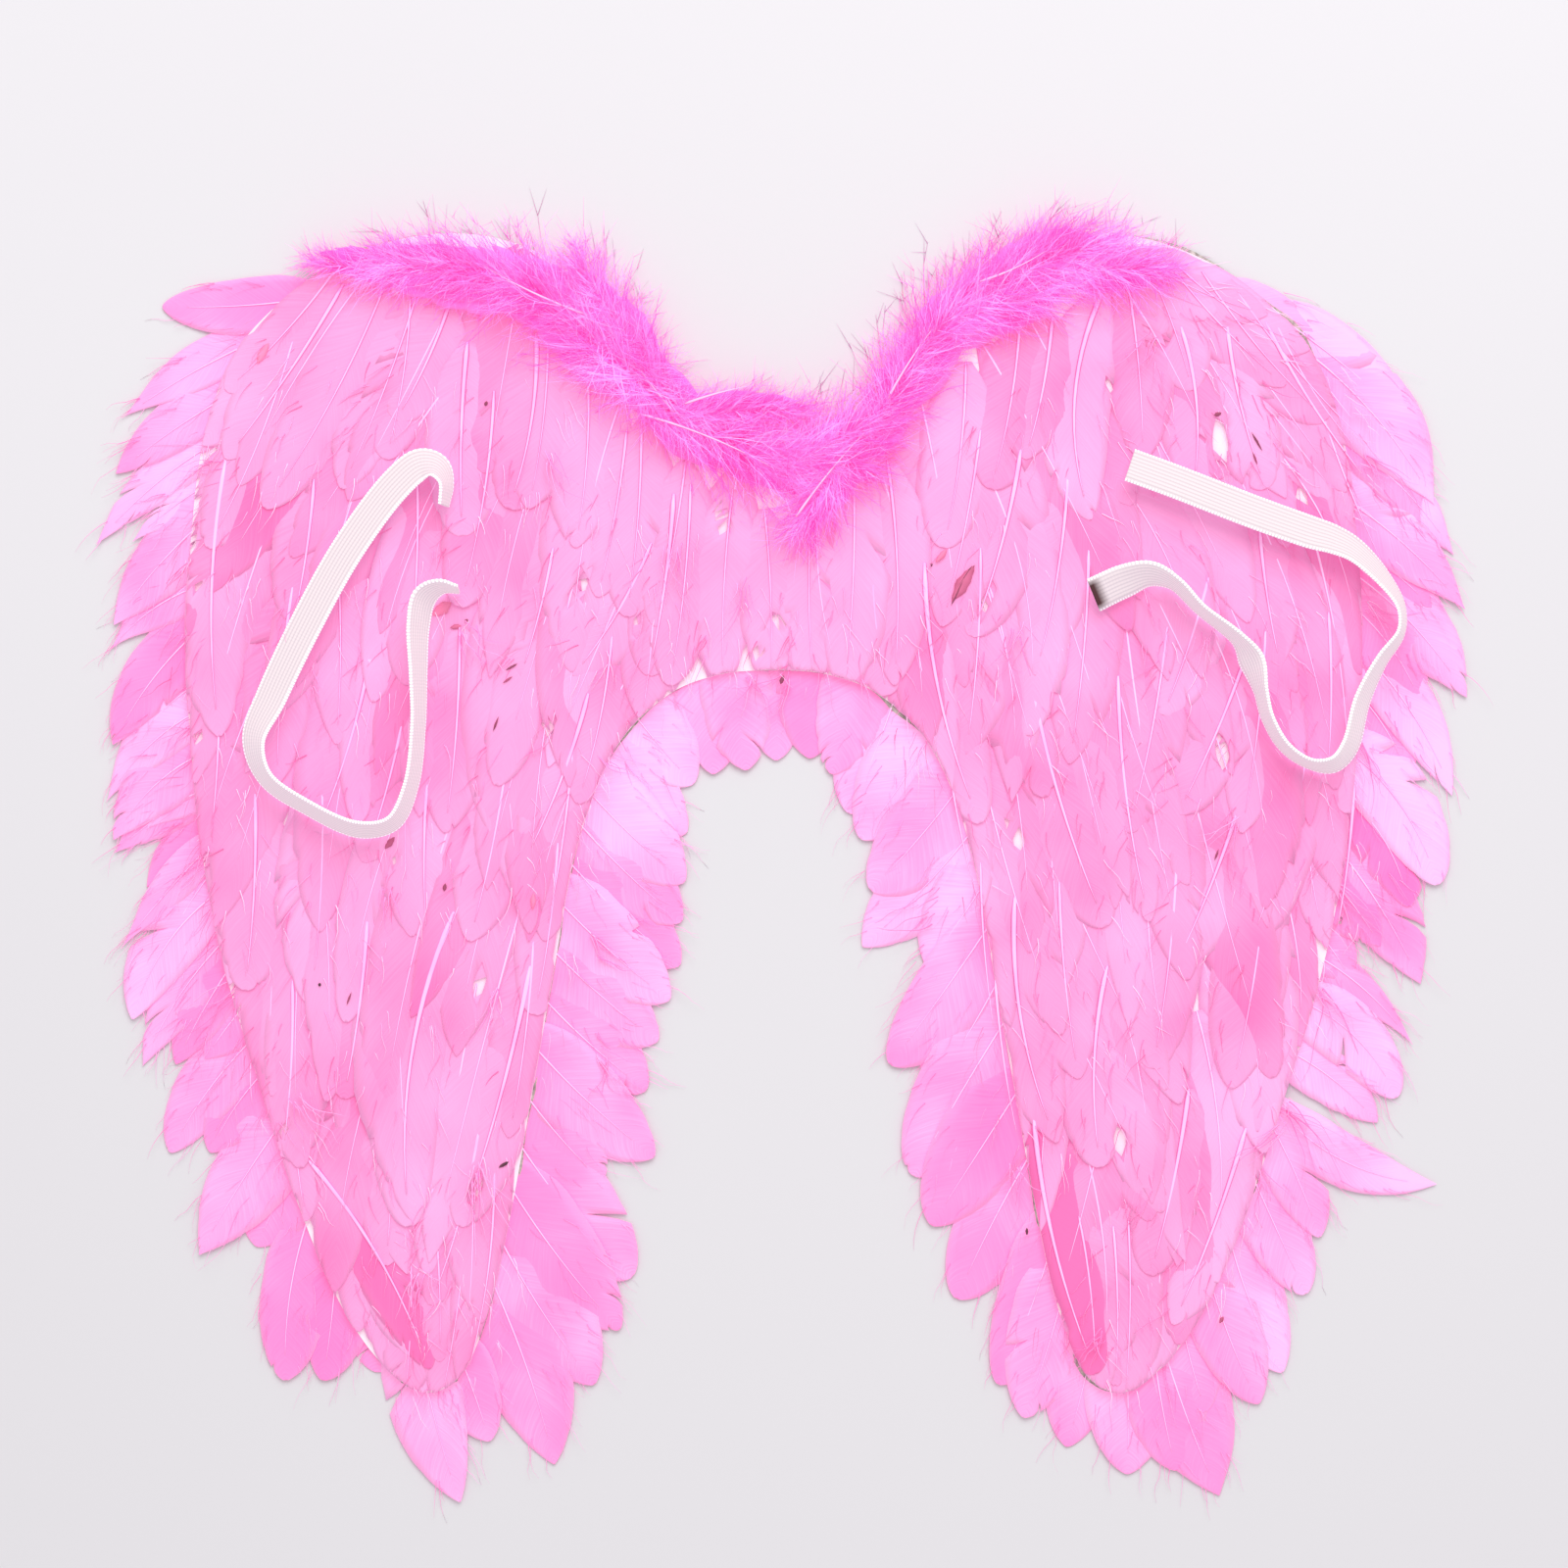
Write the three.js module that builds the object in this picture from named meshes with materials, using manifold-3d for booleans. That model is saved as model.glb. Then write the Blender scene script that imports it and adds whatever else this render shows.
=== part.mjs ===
// Feather angel wings lying on a table, seen from the side that the shoulder straps are on.
// Millimetres, +Z up. The wings spread along X, their tops point to +Y and their tips to -Y.
// From the table up: rim feathers, the cloth sheet inside its wire, the front feather rows,
// the marabou trim and the two elastic straps.

import * as THREE from 'three';
import { mergeVertices } from 'three/addons/utils/BufferGeometryUtils.js';
import Module from 'manifold-3d';

const wasm = await Module();
wasm.setup();

// Driving sizes of the sheet and its wire
const panelWidth = 518;
const panelHeight = 511;
const panelThickness = 1.2;
const wireWidth = 2.6;
const wireThickness = 1.5;
const edgeSteps = 76;

// Driving sizes of the feathers
const featherLength = 130;
const featherWidth = 38;
const featherThickness = 1.2;
const featherCurl = 0.10;
const rowPitch = 49.5;
const rowBandWidth = 12;
const rimReach = 60;
const rimRoot = 24;
const rimWidth = 34;

// How much neighbouring feathers differ: turns in degrees, lengths and curls as shares
const rimTurn = 5;
const rimLengthChange = 0.08;
const frontTurn = 4;
const frontLengthChange = 0.06;
const frontCurlShare = 0.5;
const rimSeeds = { left: 1, right: 3 };
const frontSeeds = { left: 40, right: 20 };
const plumeSeeds = { left: 9, right: 5 };

// The strip that holds the roots of rim feathers, and the bounds that end a group. Depths
// are shares of rimRoot, reaches are shares of a feather's reach past the edge.
const stripSteps = 12;
const bandDepth = 0.8;
const bandReach = 0.06;
const boundsDepth = 1.4;
const boundsReach = 1.6;

// Driving sizes of the marabou trim
const plumeLength = 88;
const plumeWidth = 31;
const plumeHeight = 24;
const lockLength = 27;
const lockRadius = 13;
const locksPerPlume = 7;
const neckHalfWidth = 40;

// Locks of a plume: how steeply they rise and how far they spread from square to the stem,
// both in degrees, the share of the stem that carries them, and the height of the stem
const lockRise = 12;
const lockRiseChange = 10;
const lockSpread = 28;
const lockSpreadChange = 12;
const lockRun = 0.8;
const stemHeightShare = 0.36;

// Driving sizes of the straps
const strapWidth = 16;
const strapThickness = 1.2;
const strapSteps = 44;
const leftLoopWidth = 93;
const leftLoopDrop = 164;
const rightLoopWidth = 135;
const rightLoopDrop = 132;

// Clearance between pieces that lie on or beside one another
const layerGap = 0.3;

// Heights of the layers, worked out from the thicknesses
const panelSeat = featherThickness + layerGap;
const frontSeat = panelSeat + Math.max(panelThickness, wireThickness) + layerGap;
const rowTilt = Math.asin((featherThickness + layerGap) / rowPitch);
const strapSeat = frontSeat + featherLength * Math.sin(rowTilt) + featherThickness + layerGap;

// One half of the sheet's edge, from the neck round the wing to the middle of the arch.
// across and up are shares of half the sheet's width and of its height. sweep is the
// angle in degrees that rim feathers there lean outward from straight down, and reach
// is the share of rimReach by which they stand past the edge.
const edgeTable = [
  [0.00, 0.803, 120, 0.00],
  [0.10, 0.826, 120, 0.00],
  [0.19, 0.870, 120, 0.00],
  [0.27, 0.925, 120, 0.00],
  [0.36, 0.972, 120, 0.00],
  [0.46, 0.995, 120, 0.00],
  [0.58, 1.000, 120, 0.40],
  [0.71, 0.983, 115, 0.50],
  [0.83, 0.945, 107, 0.66],
  [0.92, 0.893, 84, 0.72],
  [0.97, 0.820, 66, 0.82],
  [0.99, 0.740, 58, 0.88],
  [1.00, 0.650, 54, 0.92],
  [0.99, 0.555, 52, 0.90],
  [0.97, 0.460, 49, 0.84],
  [0.93, 0.360, 45, 0.76],
  [0.87, 0.260, 41, 0.76],
  [0.81, 0.165, 32, 0.78],
  [0.735, 0.075, 18, 0.80],
  [0.66, 0.022, 3, 0.80],
  [0.59, 0.000, -12, 0.82],
  [0.53, 0.016, -22, 0.90],
  [0.485, 0.070, -28, 0.92],
  [0.445, 0.160, -36, 0.96],
  [0.41, 0.260, -42, 1.00],
  [0.375, 0.360, -46, 0.98],
  [0.335, 0.470, -46, 0.86],
  [0.27, 0.555, -36, 0.64],
  [0.18, 0.602, -20, 0.56],
  [0.09, 0.620, -8, 0.56],
  [0.00, 0.624, 0, 0.56],
].map(([across, up, sweep, reach]) => ({ across, up, sweep, reach }));

// Stretches of the half edge that carry rim feathers, as shares of its course
const rimTable = [
  ['shoulder', 0.235, 0.385, 6, 0.90],
  ['side', 0.385, 0.575, 9, 0.84],
  ['tip', 0.575, 0.720, 7, 1.00],
  ['inner', 0.720, 0.905, 7, 1.04],
].map(([name, from, to, count, width]) => ({ name, from, to, count, width }));
const archFrom = 0.905;
const archCount = 3;
const archWidth = 0.74;

// Front rows from the shoulder down. inner and outer are shares of half the sheet's width,
// drop is how far the outer end hangs below the inner end, as a share of its height,
// and the leans are in degrees outward from straight down.
const rowTable = [
  [0.36, 0.86, 0.030, 4, 16, 44, 0.86],
  [0.26, 0.93, 0.012, 5, 12, 34, 0.92],
  [0.00, 0.95, 0.006, 7, 5, 24, 1.00],
  [0.00, 0.96, 0.004, 7, 6, 16, 1.00],
  [0.28, 0.96, 0.004, 5, 18, 10, 1.00],
  [0.37, 0.94, 0.006, 5, 16, 8, 1.00],
  [0.42, 0.90, 0.010, 4, 12, 4, 1.00],
  [0.44, 0.86, 0.014, 4, 12, -8, 0.94],
  [0.48, 0.80, 0.020, 3, 10, -26, 0.86],
].map(([inner, outer, drop, count, leanInner, leanOuter, length]) => (
  { inner, outer, drop, count, leanInner, leanOuter, length }));
const firstRowUp = 0.955;
const firstNeckRow = 2;

// A feather's half width along its length, both as shares
const vaneTable = [
  [0.00, 0.20],
  [0.24, 0.86],
  [0.62, 1.00],
  [0.88, 0.66],
].map(([along, wide]) => ({ along, wide }));

// Plumes of the trim, shares as in the edge table. turn is the direction that the
// plume points in, in degrees from the outward X direction of its own wing.
const plumeTable = [
  ['wing', 0.700, 0.955, 182, 0.84],
  ['wing', 0.545, 0.962, 176, 1.00],
  ['wing', 0.390, 0.935, 202, 1.00],
  ['wing', 0.262, 0.876, 224, 1.00],
  ['neck', 0.100, 0.812, 208, 1.10],
].map(([part, across, up, turn, size]) => ({ part, across, up, turn, size }));

// Strap routes from the upper glued end to the lower one. out and down are shares of the
// loop's width and drop, and tilt is how far the webbing stands up on its edge, in degrees.
const leftRoute = [
  [0.00, 0.057, 24],
  [0.10, 0.006, 24],
  [0.24, 0.062, 24],
  [0.50, 0.240, 24],
  [0.68, 0.448, 24],
  [0.83, 0.643, 28],
  [0.905, 0.750, 46],
  [0.84, 0.850, 60],
  [0.64, 0.925, 62],
  [0.38, 0.985, 58],
  [0.20, 0.955, 62],
  [0.10, 0.865, 68],
  [0.065, 0.708, 66],
  [0.10, 0.448, 62],
  [0.07, 0.356, 46],
  [-0.084, 0.366, 26],
].map(([out, down, tilt]) => ({ out, down, tilt }));
const rightRoute = [
  [0.11, 0.000, 24],
  [0.27, 0.050, 24],
  [0.53, 0.173, 24],
  [0.72, 0.232, 26],
  [0.82, 0.268, 40],
  [0.91, 0.340, 56],
  [0.975, 0.435, 58],
  [1.00, 0.523, 44],
  [0.975, 0.600, 40],
  [0.90, 0.740, 44],
  [0.865, 0.850, 50],
  [0.845, 0.935, 58],
  [0.79, 0.985, 62],
  [0.73, 1.000, 62],
  [0.62, 0.948, 62],
  [0.565, 0.863, 66],
  [0.532, 0.745, 70],
  [0.497, 0.631, 56],
  [0.43, 0.575, 66],
  [0.33, 0.461, 62],
  [0.20, 0.376, 48],
  [0.14, 0.345, 34],
  [0.00, 0.425, 24],
].map(([out, down, tilt]) => ({ out, down, tilt }));
const leftAnchor = { across: -0.571, up: 0.803 };
const rightAnchor = { across: 0.546, up: 0.797 };

// Finishes
const vanePink = { color: '#fea4d9', roughness: 0.75, metalness: 0 };
const rimPink = { color: '#febdef', roughness: 0.75, metalness: 0 };
const marabouPink = { color: '#fd8aea', roughness: 0.9, metalness: 0 };
const feltWhite = { color: '#f6ecf2', roughness: 0.9, metalness: 0 };
const tapeGrey = { color: '#b6ada4', roughness: 0.6, metalness: 0 };
const elasticWhite = { color: '#f3eaee', roughness: 0.85, metalness: 0 };

const wobbleStep = 12.9898;
const wobbleSeedStep = 78.233;
const mergeDistance = 1e-4;
const shortestEdge = 0.02;
const farAway = 2 * (panelWidth + panelHeight);
const nearCorner = new THREE.Vector3(-farAway, -farAway, -farAway);
const farCorner = new THREE.Vector3(farAway, farAway, farAway);
const vertical = new THREE.Vector3(0, 0, 1);

// Turns a closed geometry into a solid that can be joined and cut. A geometry that has been
// a solid before carries no uv attribute, and its vertices are merged already.
function toSolid(geometry) {
  const bare = geometry.clone();
  bare.deleteAttribute('normal');
  bare.deleteAttribute('uv');
  const merged = geometry.attributes.uv ? mergeVertices(bare, mergeDistance) : bare;
  return new wasm.Manifold(new wasm.Mesh({
    numProp: 3,
    tolerance: shortestEdge,
    vertProperties: new Float32Array(merged.attributes.position.array),
    triVerts: new Uint32Array(merged.index.array),
  }));
}

// Turns a solid back into a geometry, with faces that lie in one plane merged
function toGeometry(solid) {
  const mesh = solid.asOriginal().simplify(shortestEdge).getMesh();
  const geometry = new THREE.BufferGeometry();
  geometry.setAttribute('position', new THREE.BufferAttribute(mesh.vertProperties, 3));
  geometry.setIndex(new THREE.BufferAttribute(mesh.triVerts, 1));
  geometry.computeVertexNormals();
  return geometry;
}

function joinAll(solids) {
  return solids.reduce((joined, solid) => joined.add(solid)).asOriginal();
}

// The largest body of a cut solid, without the lock tips that the cut has parted from it
function mainBody(solid) {
  const bodies = solid.decompose();
  return bodies.reduce((main, other) => (other.volume() > main.volume() ? other : main));
}

function namedMesh(name, geometry, finish) {
  const mesh = new THREE.Mesh(geometry, new THREE.MeshStandardMaterial(finish));
  mesh.name = name;
  return mesh;
}

// A flat plate of the given outline, from height low up to height high
function plate(points, low, high) {
  const shape = new THREE.Shape(points);
  const geometry = new THREE.ExtrudeGeometry(shape, { depth: high - low, bevelEnabled: false });
  return geometry.translate(0, 0, low);
}

// A block between two corners, used to cut with
function block(low, high) {
  const size = new THREE.Vector3().subVectors(high, low);
  const middle = new THREE.Vector3().addVectors(low, high).multiplyScalar(0.5);
  const geometry = new THREE.BoxGeometry(size.x, size.y, size.z);
  return toSolid(geometry.translate(middle.x, middle.y, middle.z));
}

// A place on the sheet, from its shares
function panelPoint(across, up) {
  return new THREE.Vector2(across * panelWidth / 2, up * panelHeight);
}

const halfEdge = new THREE.CatmullRomCurve3(edgeTable.map(({ across, up }) => (
  new THREE.Vector3(across * panelWidth / 2, up * panelHeight, 0))), false, 'centripetal');

// Edge point, feather direction and reach at a share of the half edge's course
function edgeAt(share, side) {
  const point = halfEdge.getPoint(share);
  const place = share * (edgeTable.length - 1);
  const row = Math.min(Math.floor(place), edgeTable.length - 2);
  const part = place - row;
  const sweep = THREE.MathUtils.lerp(edgeTable[row].sweep, edgeTable[row + 1].sweep, part);
  const reach = THREE.MathUtils.lerp(edgeTable[row].reach, edgeTable[row + 1].reach, part);
  const angle = THREE.MathUtils.degToRad(sweep);
  return {
    point: new THREE.Vector2(side * point.x, point.y),
    direction: new THREE.Vector2(side * Math.sin(angle), -Math.cos(angle)),
    reach: reach * rimReach,
  };
}

// The whole edge as a closed outline, moved outward by an offset
function edgeOutline(offset) {
  const half = Array.from({ length: edgeSteps / 2 + 1 }, (_, step) => {
    const share = step / (edgeSteps / 2);
    const point = halfEdge.getPoint(share);
    const tangent = halfEdge.getTangent(share);
    const isMiddle = step === 0 || step === edgeSteps / 2;
    const outward = isMiddle
      ? new THREE.Vector2(0, Math.sign(0.5 - share))
      : new THREE.Vector2(-tangent.y, tangent.x);
    return new THREE.Vector2(point.x, point.y).addScaledVector(outward, offset);
  });
  const mirrored = half.slice(1, -1).reverse().map((point) => new THREE.Vector2(-point.x, point.y));
  return [...half, ...mirrored];
}

// A small steady variation between neighbours, from -1 to 1
function wobble(index, seed) {
  return Math.sin(wobbleStep * index + wobbleSeedStep * seed);
}

// Outline of one feather that starts at root and points along direction
function featherOutline(root, direction, length, width, curl) {
  const beside = new THREE.Vector2(-direction.y, direction.x);
  const at = (along, aside) => root.clone()
    .addScaledVector(direction, along * length)
    .addScaledVector(beside, aside * width / 2 + curl * along * along * length);
  const left = vaneTable.map(({ along, wide }) => at(along, -wide));
  const right = vaneTable.map(({ along, wide }) => at(along, wide)).reverse();
  return [...left, at(1, 0), ...right];
}

function makePanel() {
  const sheet = plate(edgeOutline(0), panelSeat, panelSeat + panelThickness);
  return namedMesh('wing_panel', sheet, feltWhite);
}

function makeWire() {
  const outline = edgeOutline(layerGap + wireWidth);
  const whole = toSolid(plate(outline, panelSeat, panelSeat + wireThickness));
  const inside = toSolid(plate(edgeOutline(layerGap), 0, frontSeat));
  return namedMesh('edge_wire', toGeometry(whole.subtract(inside)), tapeGrey);
}

// Strip along part of the edge whose ends follow the lie of the feathers. It bounds one
// group of rim feathers, so that neighbouring groups stay a gap apart.
function rimStrip(from, to, side, depth, reachShare, gap) {
  const shares = Array.from({ length: stripSteps + 1 }, (_, step) => from + (to - from) * step / stripSteps);
  const line = (share, run) => {
    const { point, direction, reach } = edgeAt(share, side);
    return point.addScaledVector(direction, run < 0 ? run : run * reach);
  };
  const outer = shares.map((share) => line(share, reachShare));
  const inner = shares.map((share) => line(share, -depth)).reverse();
  const strip = [...outer, ...inner];
  const endShift = (share, sign) => {
    const tangent = halfEdge.getTangent(share);
    return new THREE.Vector2(side * tangent.x, tangent.y).multiplyScalar(sign * gap);
  };
  [0, strip.length - 1].forEach((end) => strip[end].add(endShift(from, 1)));
  [stripSteps, stripSteps + 1].forEach((end) => strip[end].add(endShift(to, -1)));
  return strip;
}

// One group of rim feathers, fused to the strip that holds their roots
function rimGroup(from, to, count, widthShare, side, gap) {
  const seed = side > 0 ? rimSeeds.right : rimSeeds.left;
  const feathers = Array.from({ length: count }, (_, index) => {
    const share = from + (to - from) * (index + 0.5) / count;
    const { point, direction, reach } = edgeAt(share, side);
    const turn = THREE.MathUtils.degToRad(rimTurn * wobble(index, seed));
    const lie = direction.clone().rotateAround(new THREE.Vector2(), turn);
    const root = point.clone().addScaledVector(direction, -rimRoot);
    const length = rimRoot + reach * (1 + rimLengthChange * (wobble(index, seed + 1) - 1));
    const outline = featherOutline(root, lie, length, rimWidth * widthShare, -side * featherCurl);
    return toSolid(plate(outline, 0, featherThickness));
  });
  const bandOutline = rimStrip(from, to, side, rimRoot * bandDepth, bandReach, gap);
  const boundsOutline = rimStrip(from, to, side, rimRoot * boundsDepth, boundsReach, gap);
  const band = toSolid(plate(bandOutline, 0, featherThickness));
  const bounds = toSolid(plate(boundsOutline, -layerGap, panelSeat));
  return joinAll([band, ...feathers]).intersect(bounds);
}

function makeRim() {
  const sides = [['left', -1], ['right', 1]];
  const groups = sides.flatMap(([sideName, side]) => rimTable.map(({ name, from, to, count, width }) => (
    namedMesh(`rim_feathers_${sideName}_${name}`,
      toGeometry(rimGroup(from, to, count, width, side, layerGap / 2)), rimPink))));
  const archHalves = sides.map(([, side]) => (
    rimGroup(archFrom, 1, archCount, archWidth, side, layerGap / 2)));
  const { point, direction, reach } = edgeAt(1, 1);
  const keyRoot = point.addScaledVector(direction, -rimRoot);
  const keyFeather = toSolid(plate(
    featherOutline(keyRoot, direction, rimRoot + reach, rimWidth * archWidth, 0), 0, featherThickness));
  const arch = joinAll([keyFeather, ...archHalves]);
  return [...groups, namedMesh('rim_feathers_arch', toGeometry(arch), rimPink)];
}

// Tilts what is built flat about the upper end of its row, and lifts it onto the sheet
function placeOnRow(geometry, rowIndex) {
  const baseY = firstRowUp * panelHeight - rowIndex * rowPitch;
  return geometry.translate(0, -baseY, 0).rotateX(-rowTilt).translate(0, baseY, frontSeat);
}

// One front row before it is tilted, as a plate between two heights above its own plane
function flatRow(row, rowIndex, side, low, high) {
  const { inner, outer, drop, count, leanInner, leanOuter, length } = row;
  const baseUp = firstRowUp - rowIndex * rowPitch / panelHeight;
  const rootAt = (part) => panelPoint(
    side * THREE.MathUtils.lerp(inner, outer, part), baseUp - drop * part * part);
  const feathers = Array.from({ length: count }, (_, index) => {
    const part = (index + 0.5) / count;
    const jitter = wobble(index, rowIndex + (side > 0 ? frontSeeds.right : frontSeeds.left));
    const leanDegrees = THREE.MathUtils.lerp(leanInner, leanOuter, part) + frontTurn * jitter;
    const lean = THREE.MathUtils.degToRad(leanDegrees);
    const direction = new THREE.Vector2(side * Math.sin(lean), -Math.cos(lean));
    const run = featherLength * length * (1 + frontLengthChange * (jitter - 1));
    const curl = side * featherCurl * frontCurlShare * jitter;
    return toSolid(plate(featherOutline(rootAt(part), direction, run, featherWidth, curl), low, high));
  });
  const parts = [0, 0.25, 0.5, 0.75, 1];
  const bandTop = parts.map((part) => rootAt(part));
  const bandLow = parts.map((part) => rootAt(part).sub(new THREE.Vector2(0, rowBandWidth))).reverse();
  return joinAll([toSolid(plate([...bandTop, ...bandLow], low, high)), ...feathers]);
}

// A front row on the sheet: cut flush with the sheet's edge and at the middle line, then
// tilted about its upper end so that its tips lie on the roots of the row below
function frontRow(row, rowIndex, side, low, high) {
  const middleGap = side * layerGap / 2;
  const bounds = toSolid(plate(edgeOutline(0), -farAway, farAway));
  const ownSide = side > 0
    ? block(new THREE.Vector3(middleGap, -farAway, -farAway), farCorner)
    : block(nearCorner, new THREE.Vector3(middleGap, farAway, farAway));
  const cut = flatRow(row, rowIndex, side, low, high).intersect(bounds).intersect(ownSide);
  return placeOnRow(toGeometry(cut), rowIndex);
}

function makeFrontRows() {
  return [['left', -1], ['right', 1]].flatMap(([sideName, side]) => rowTable.map((row, index) => (
    namedMesh(`front_row_${sideName}_${index + 1}`,
      frontRow(row, index, side, 0, featherThickness), vanePink))));
}

// A soft spindle with pointed locks that leave it on both sides, as on a marabou plume
function plumeSolid({ across, up, turn, size }, side, seed) {
  const length = plumeLength * size;
  const body = new THREE.SphereGeometry(0.5, 8, 5);
  body.rotateX(Math.PI / 2);
  body.scale(length, plumeWidth * size, plumeHeight * size);
  const locks = Array.from({ length: locksPerPlume }, (_, index) => {
    const flank = index % 2 === 0 ? 1 : -1;
    const along = (index + 0.5) / locksPerPlume - 0.5;
    const lock = new THREE.ConeGeometry(lockRadius * size, lockLength * size, 4);
    lock.translate(0, lockLength * size / 2, 0);
    lock.rotateX(THREE.MathUtils.degToRad(lockRise + lockRiseChange * wobble(index, seed)));
    lock.rotateZ(-flank * THREE.MathUtils.degToRad(lockSpread + lockSpreadChange * wobble(index, seed + 2)));
    lock.scale(1, flank, 1);
    if (flank < 0) lock.index.array.reverse();
    lock.translate(lockRun * along * length, 0, 0);
    return toSolid(lock);
  });
  const plume = toGeometry(joinAll([toSolid(body), ...locks]));
  const spot = panelPoint(side * across, up);
  const facing = side > 0 ? turn : 180 - turn;
  plume.rotateZ(THREE.MathUtils.degToRad(facing));
  return plume.translate(spot.x, spot.y, frontSeat + plumeHeight * size * stemHeightShare);
}

// Everything that lies lower than the upper face of a front row, with a gap above it
function underRow(rowIndex) {
  const geometry = new THREE.BoxGeometry(farAway, farAway, farAway);
  geometry.translate(0, 0, featherThickness + layerGap - farAway / 2);
  return toSolid(placeOnRow(geometry, rowIndex));
}

// The trim rests on the sheet and on the front rows that reach under it
function makeTrim() {
  const sides = [['left', -1], ['right', 1]];
  const below = block(nearCorner, new THREE.Vector3(farAway, farAway, frontSeat));
  const plumesOf = (part, side) => plumeTable.filter((plume) => plume.part === part)
    .map((plume, index) => toSolid(plumeSolid(
      plume, side, index + (side > 0 ? plumeSeeds.right : plumeSeeds.left))));
  const seat = (solid, rowIndex) => (
    toGeometry(mainBody(solid.subtract(below).subtract(underRow(rowIndex)))));
  const wings = sides.map(([sideName, side]) => {
    const edge = side * (neckHalfWidth + layerGap / 2);
    const ownSide = side > 0
      ? block(new THREE.Vector3(edge, -farAway, -farAway), farCorner)
      : block(nearCorner, new THREE.Vector3(edge, farAway, farAway));
    return namedMesh(`marabou_trim_${sideName}`,
      seat(joinAll(plumesOf('wing', side)).intersect(ownSide), 0), marabouPink);
  });
  const neckEdge = neckHalfWidth - layerGap / 2;
  const neckBounds = block(new THREE.Vector3(-neckEdge, -farAway, -farAway),
    new THREE.Vector3(neckEdge, farAway, farAway));
  const neck = joinAll(sides.flatMap(([, side]) => plumesOf('neck', side))).intersect(neckBounds);
  return [...wings, namedMesh('marabou_trim_neck', seat(neck, firstNeckRow), marabouPink)];
}

// Flat webbing bent along its route, standing on its lower edge as far as its tilt says
function makeStrap(name, route, anchor, side, loopWidth, loopDrop) {
  const start = panelPoint(anchor.across, anchor.up);
  const curve = new THREE.CatmullRomCurve3(route.map(({ out, down }) => (
    new THREE.Vector3(start.x + side * out * loopWidth, start.y - down * loopDrop, 0)
  )), false, 'centripetal');
  const tilts = new THREE.CatmullRomCurve3(route.map(({ tilt }, index) => (
    new THREE.Vector3(index, THREE.MathUtils.degToRad(tilt), 0))), false, 'centripetal');
  const geometry = new THREE.BoxGeometry(1, strapWidth, strapThickness, strapSteps, 1, 1);
  const position = geometry.attributes.position;
  for (let index = 0; index < position.count; index += 1) {
    const share = curve.getUtoTmapping(position.getX(index) + 0.5);
    const tangent = curve.getTangent(share);
    const aside = new THREE.Vector3().crossVectors(vertical, tangent).normalize();
    const tilt = tilts.getPoint(share).y;
    const wide = aside.clone().multiplyScalar(-side * Math.cos(tilt));
    wide.addScaledVector(vertical, Math.sin(tilt));
    const thick = new THREE.Vector3().crossVectors(tangent, wide);
    const centre = curve.getPoint(share);
    centre.z = strapSeat + strapWidth / 2 * Math.sin(tilt) + strapThickness / 2 * Math.cos(tilt);
    centre.addScaledVector(wide, position.getY(index)).addScaledVector(thick, position.getZ(index));
    position.setXYZ(index, centre.x, centre.y, centre.z);
  }
  return namedMesh(name, geometry, elasticWhite);
}

const wings = new THREE.Group();
wings.add(makePanel());
wings.add(makeWire());
wings.add(...makeRim());
wings.add(...makeFrontRows());
wings.add(...makeTrim());
wings.add(makeStrap('strap_left', leftRoute, leftAnchor, -1, leftLoopWidth, leftLoopDrop));
wings.add(makeStrap('strap_right', rightRoute, rightAnchor, 1, rightLoopWidth, rightLoopDrop));

// The middle of the footprint stands over the origin, and the lowest feathers touch Z = 0
const reachBox = new THREE.Box3().setFromObject(wings, true);
const footprint = reachBox.getCenter(new THREE.Vector3());
wings.position.set(-footprint.x, -footprint.y, -reachBox.min.z);

export default wings;
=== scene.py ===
# Pink feather angel wings lying on a pale table, seen from straight above.
# Metres. The wings spread along X, their tops point to +Y, +Z is up from the table.
import math

import bpy
import numpy as np
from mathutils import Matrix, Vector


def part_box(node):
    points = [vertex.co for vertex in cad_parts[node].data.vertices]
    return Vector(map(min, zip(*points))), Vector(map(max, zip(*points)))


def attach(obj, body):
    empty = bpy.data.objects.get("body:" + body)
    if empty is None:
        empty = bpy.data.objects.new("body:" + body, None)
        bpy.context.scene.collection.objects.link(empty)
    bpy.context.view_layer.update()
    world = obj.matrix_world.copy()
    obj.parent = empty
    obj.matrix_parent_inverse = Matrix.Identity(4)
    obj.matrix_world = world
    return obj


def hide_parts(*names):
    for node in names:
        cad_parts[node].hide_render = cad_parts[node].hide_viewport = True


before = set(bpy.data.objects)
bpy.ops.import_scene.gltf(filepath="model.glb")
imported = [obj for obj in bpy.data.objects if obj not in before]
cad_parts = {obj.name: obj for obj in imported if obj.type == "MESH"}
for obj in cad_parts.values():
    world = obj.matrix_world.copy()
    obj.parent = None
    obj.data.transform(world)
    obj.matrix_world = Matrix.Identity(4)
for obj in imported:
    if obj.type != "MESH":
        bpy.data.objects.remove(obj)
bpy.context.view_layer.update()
print("frame loaded")

# photo places

photo = {
    "size": 1600,                   # width and height in pixels
    "millimetresPerPixel": 0.432,   # one scale all over, because the view is straight down
    "middleColumn": 789.5,          # column of the middle line of the wings
    "sheetFootRow": 1420.0,         # row of the lowest point of the cloth sheet
}
sheetLow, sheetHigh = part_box("wing_panel")
middleX = (sheetLow[0] + sheetHigh[0]) / 2
footY = sheetLow[1]
pixel = photo["millimetresPerPixel"] / 1000


def fromPhoto(column, row):
    # place on the table of a photo pixel, in metres
    x = middleX + (np.asarray(column, float) - photo["middleColumn"]) * pixel
    y = footY + (photo["sheetFootRow"] - np.asarray(row, float)) * pixel
    return x, y


# small helpers


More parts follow.
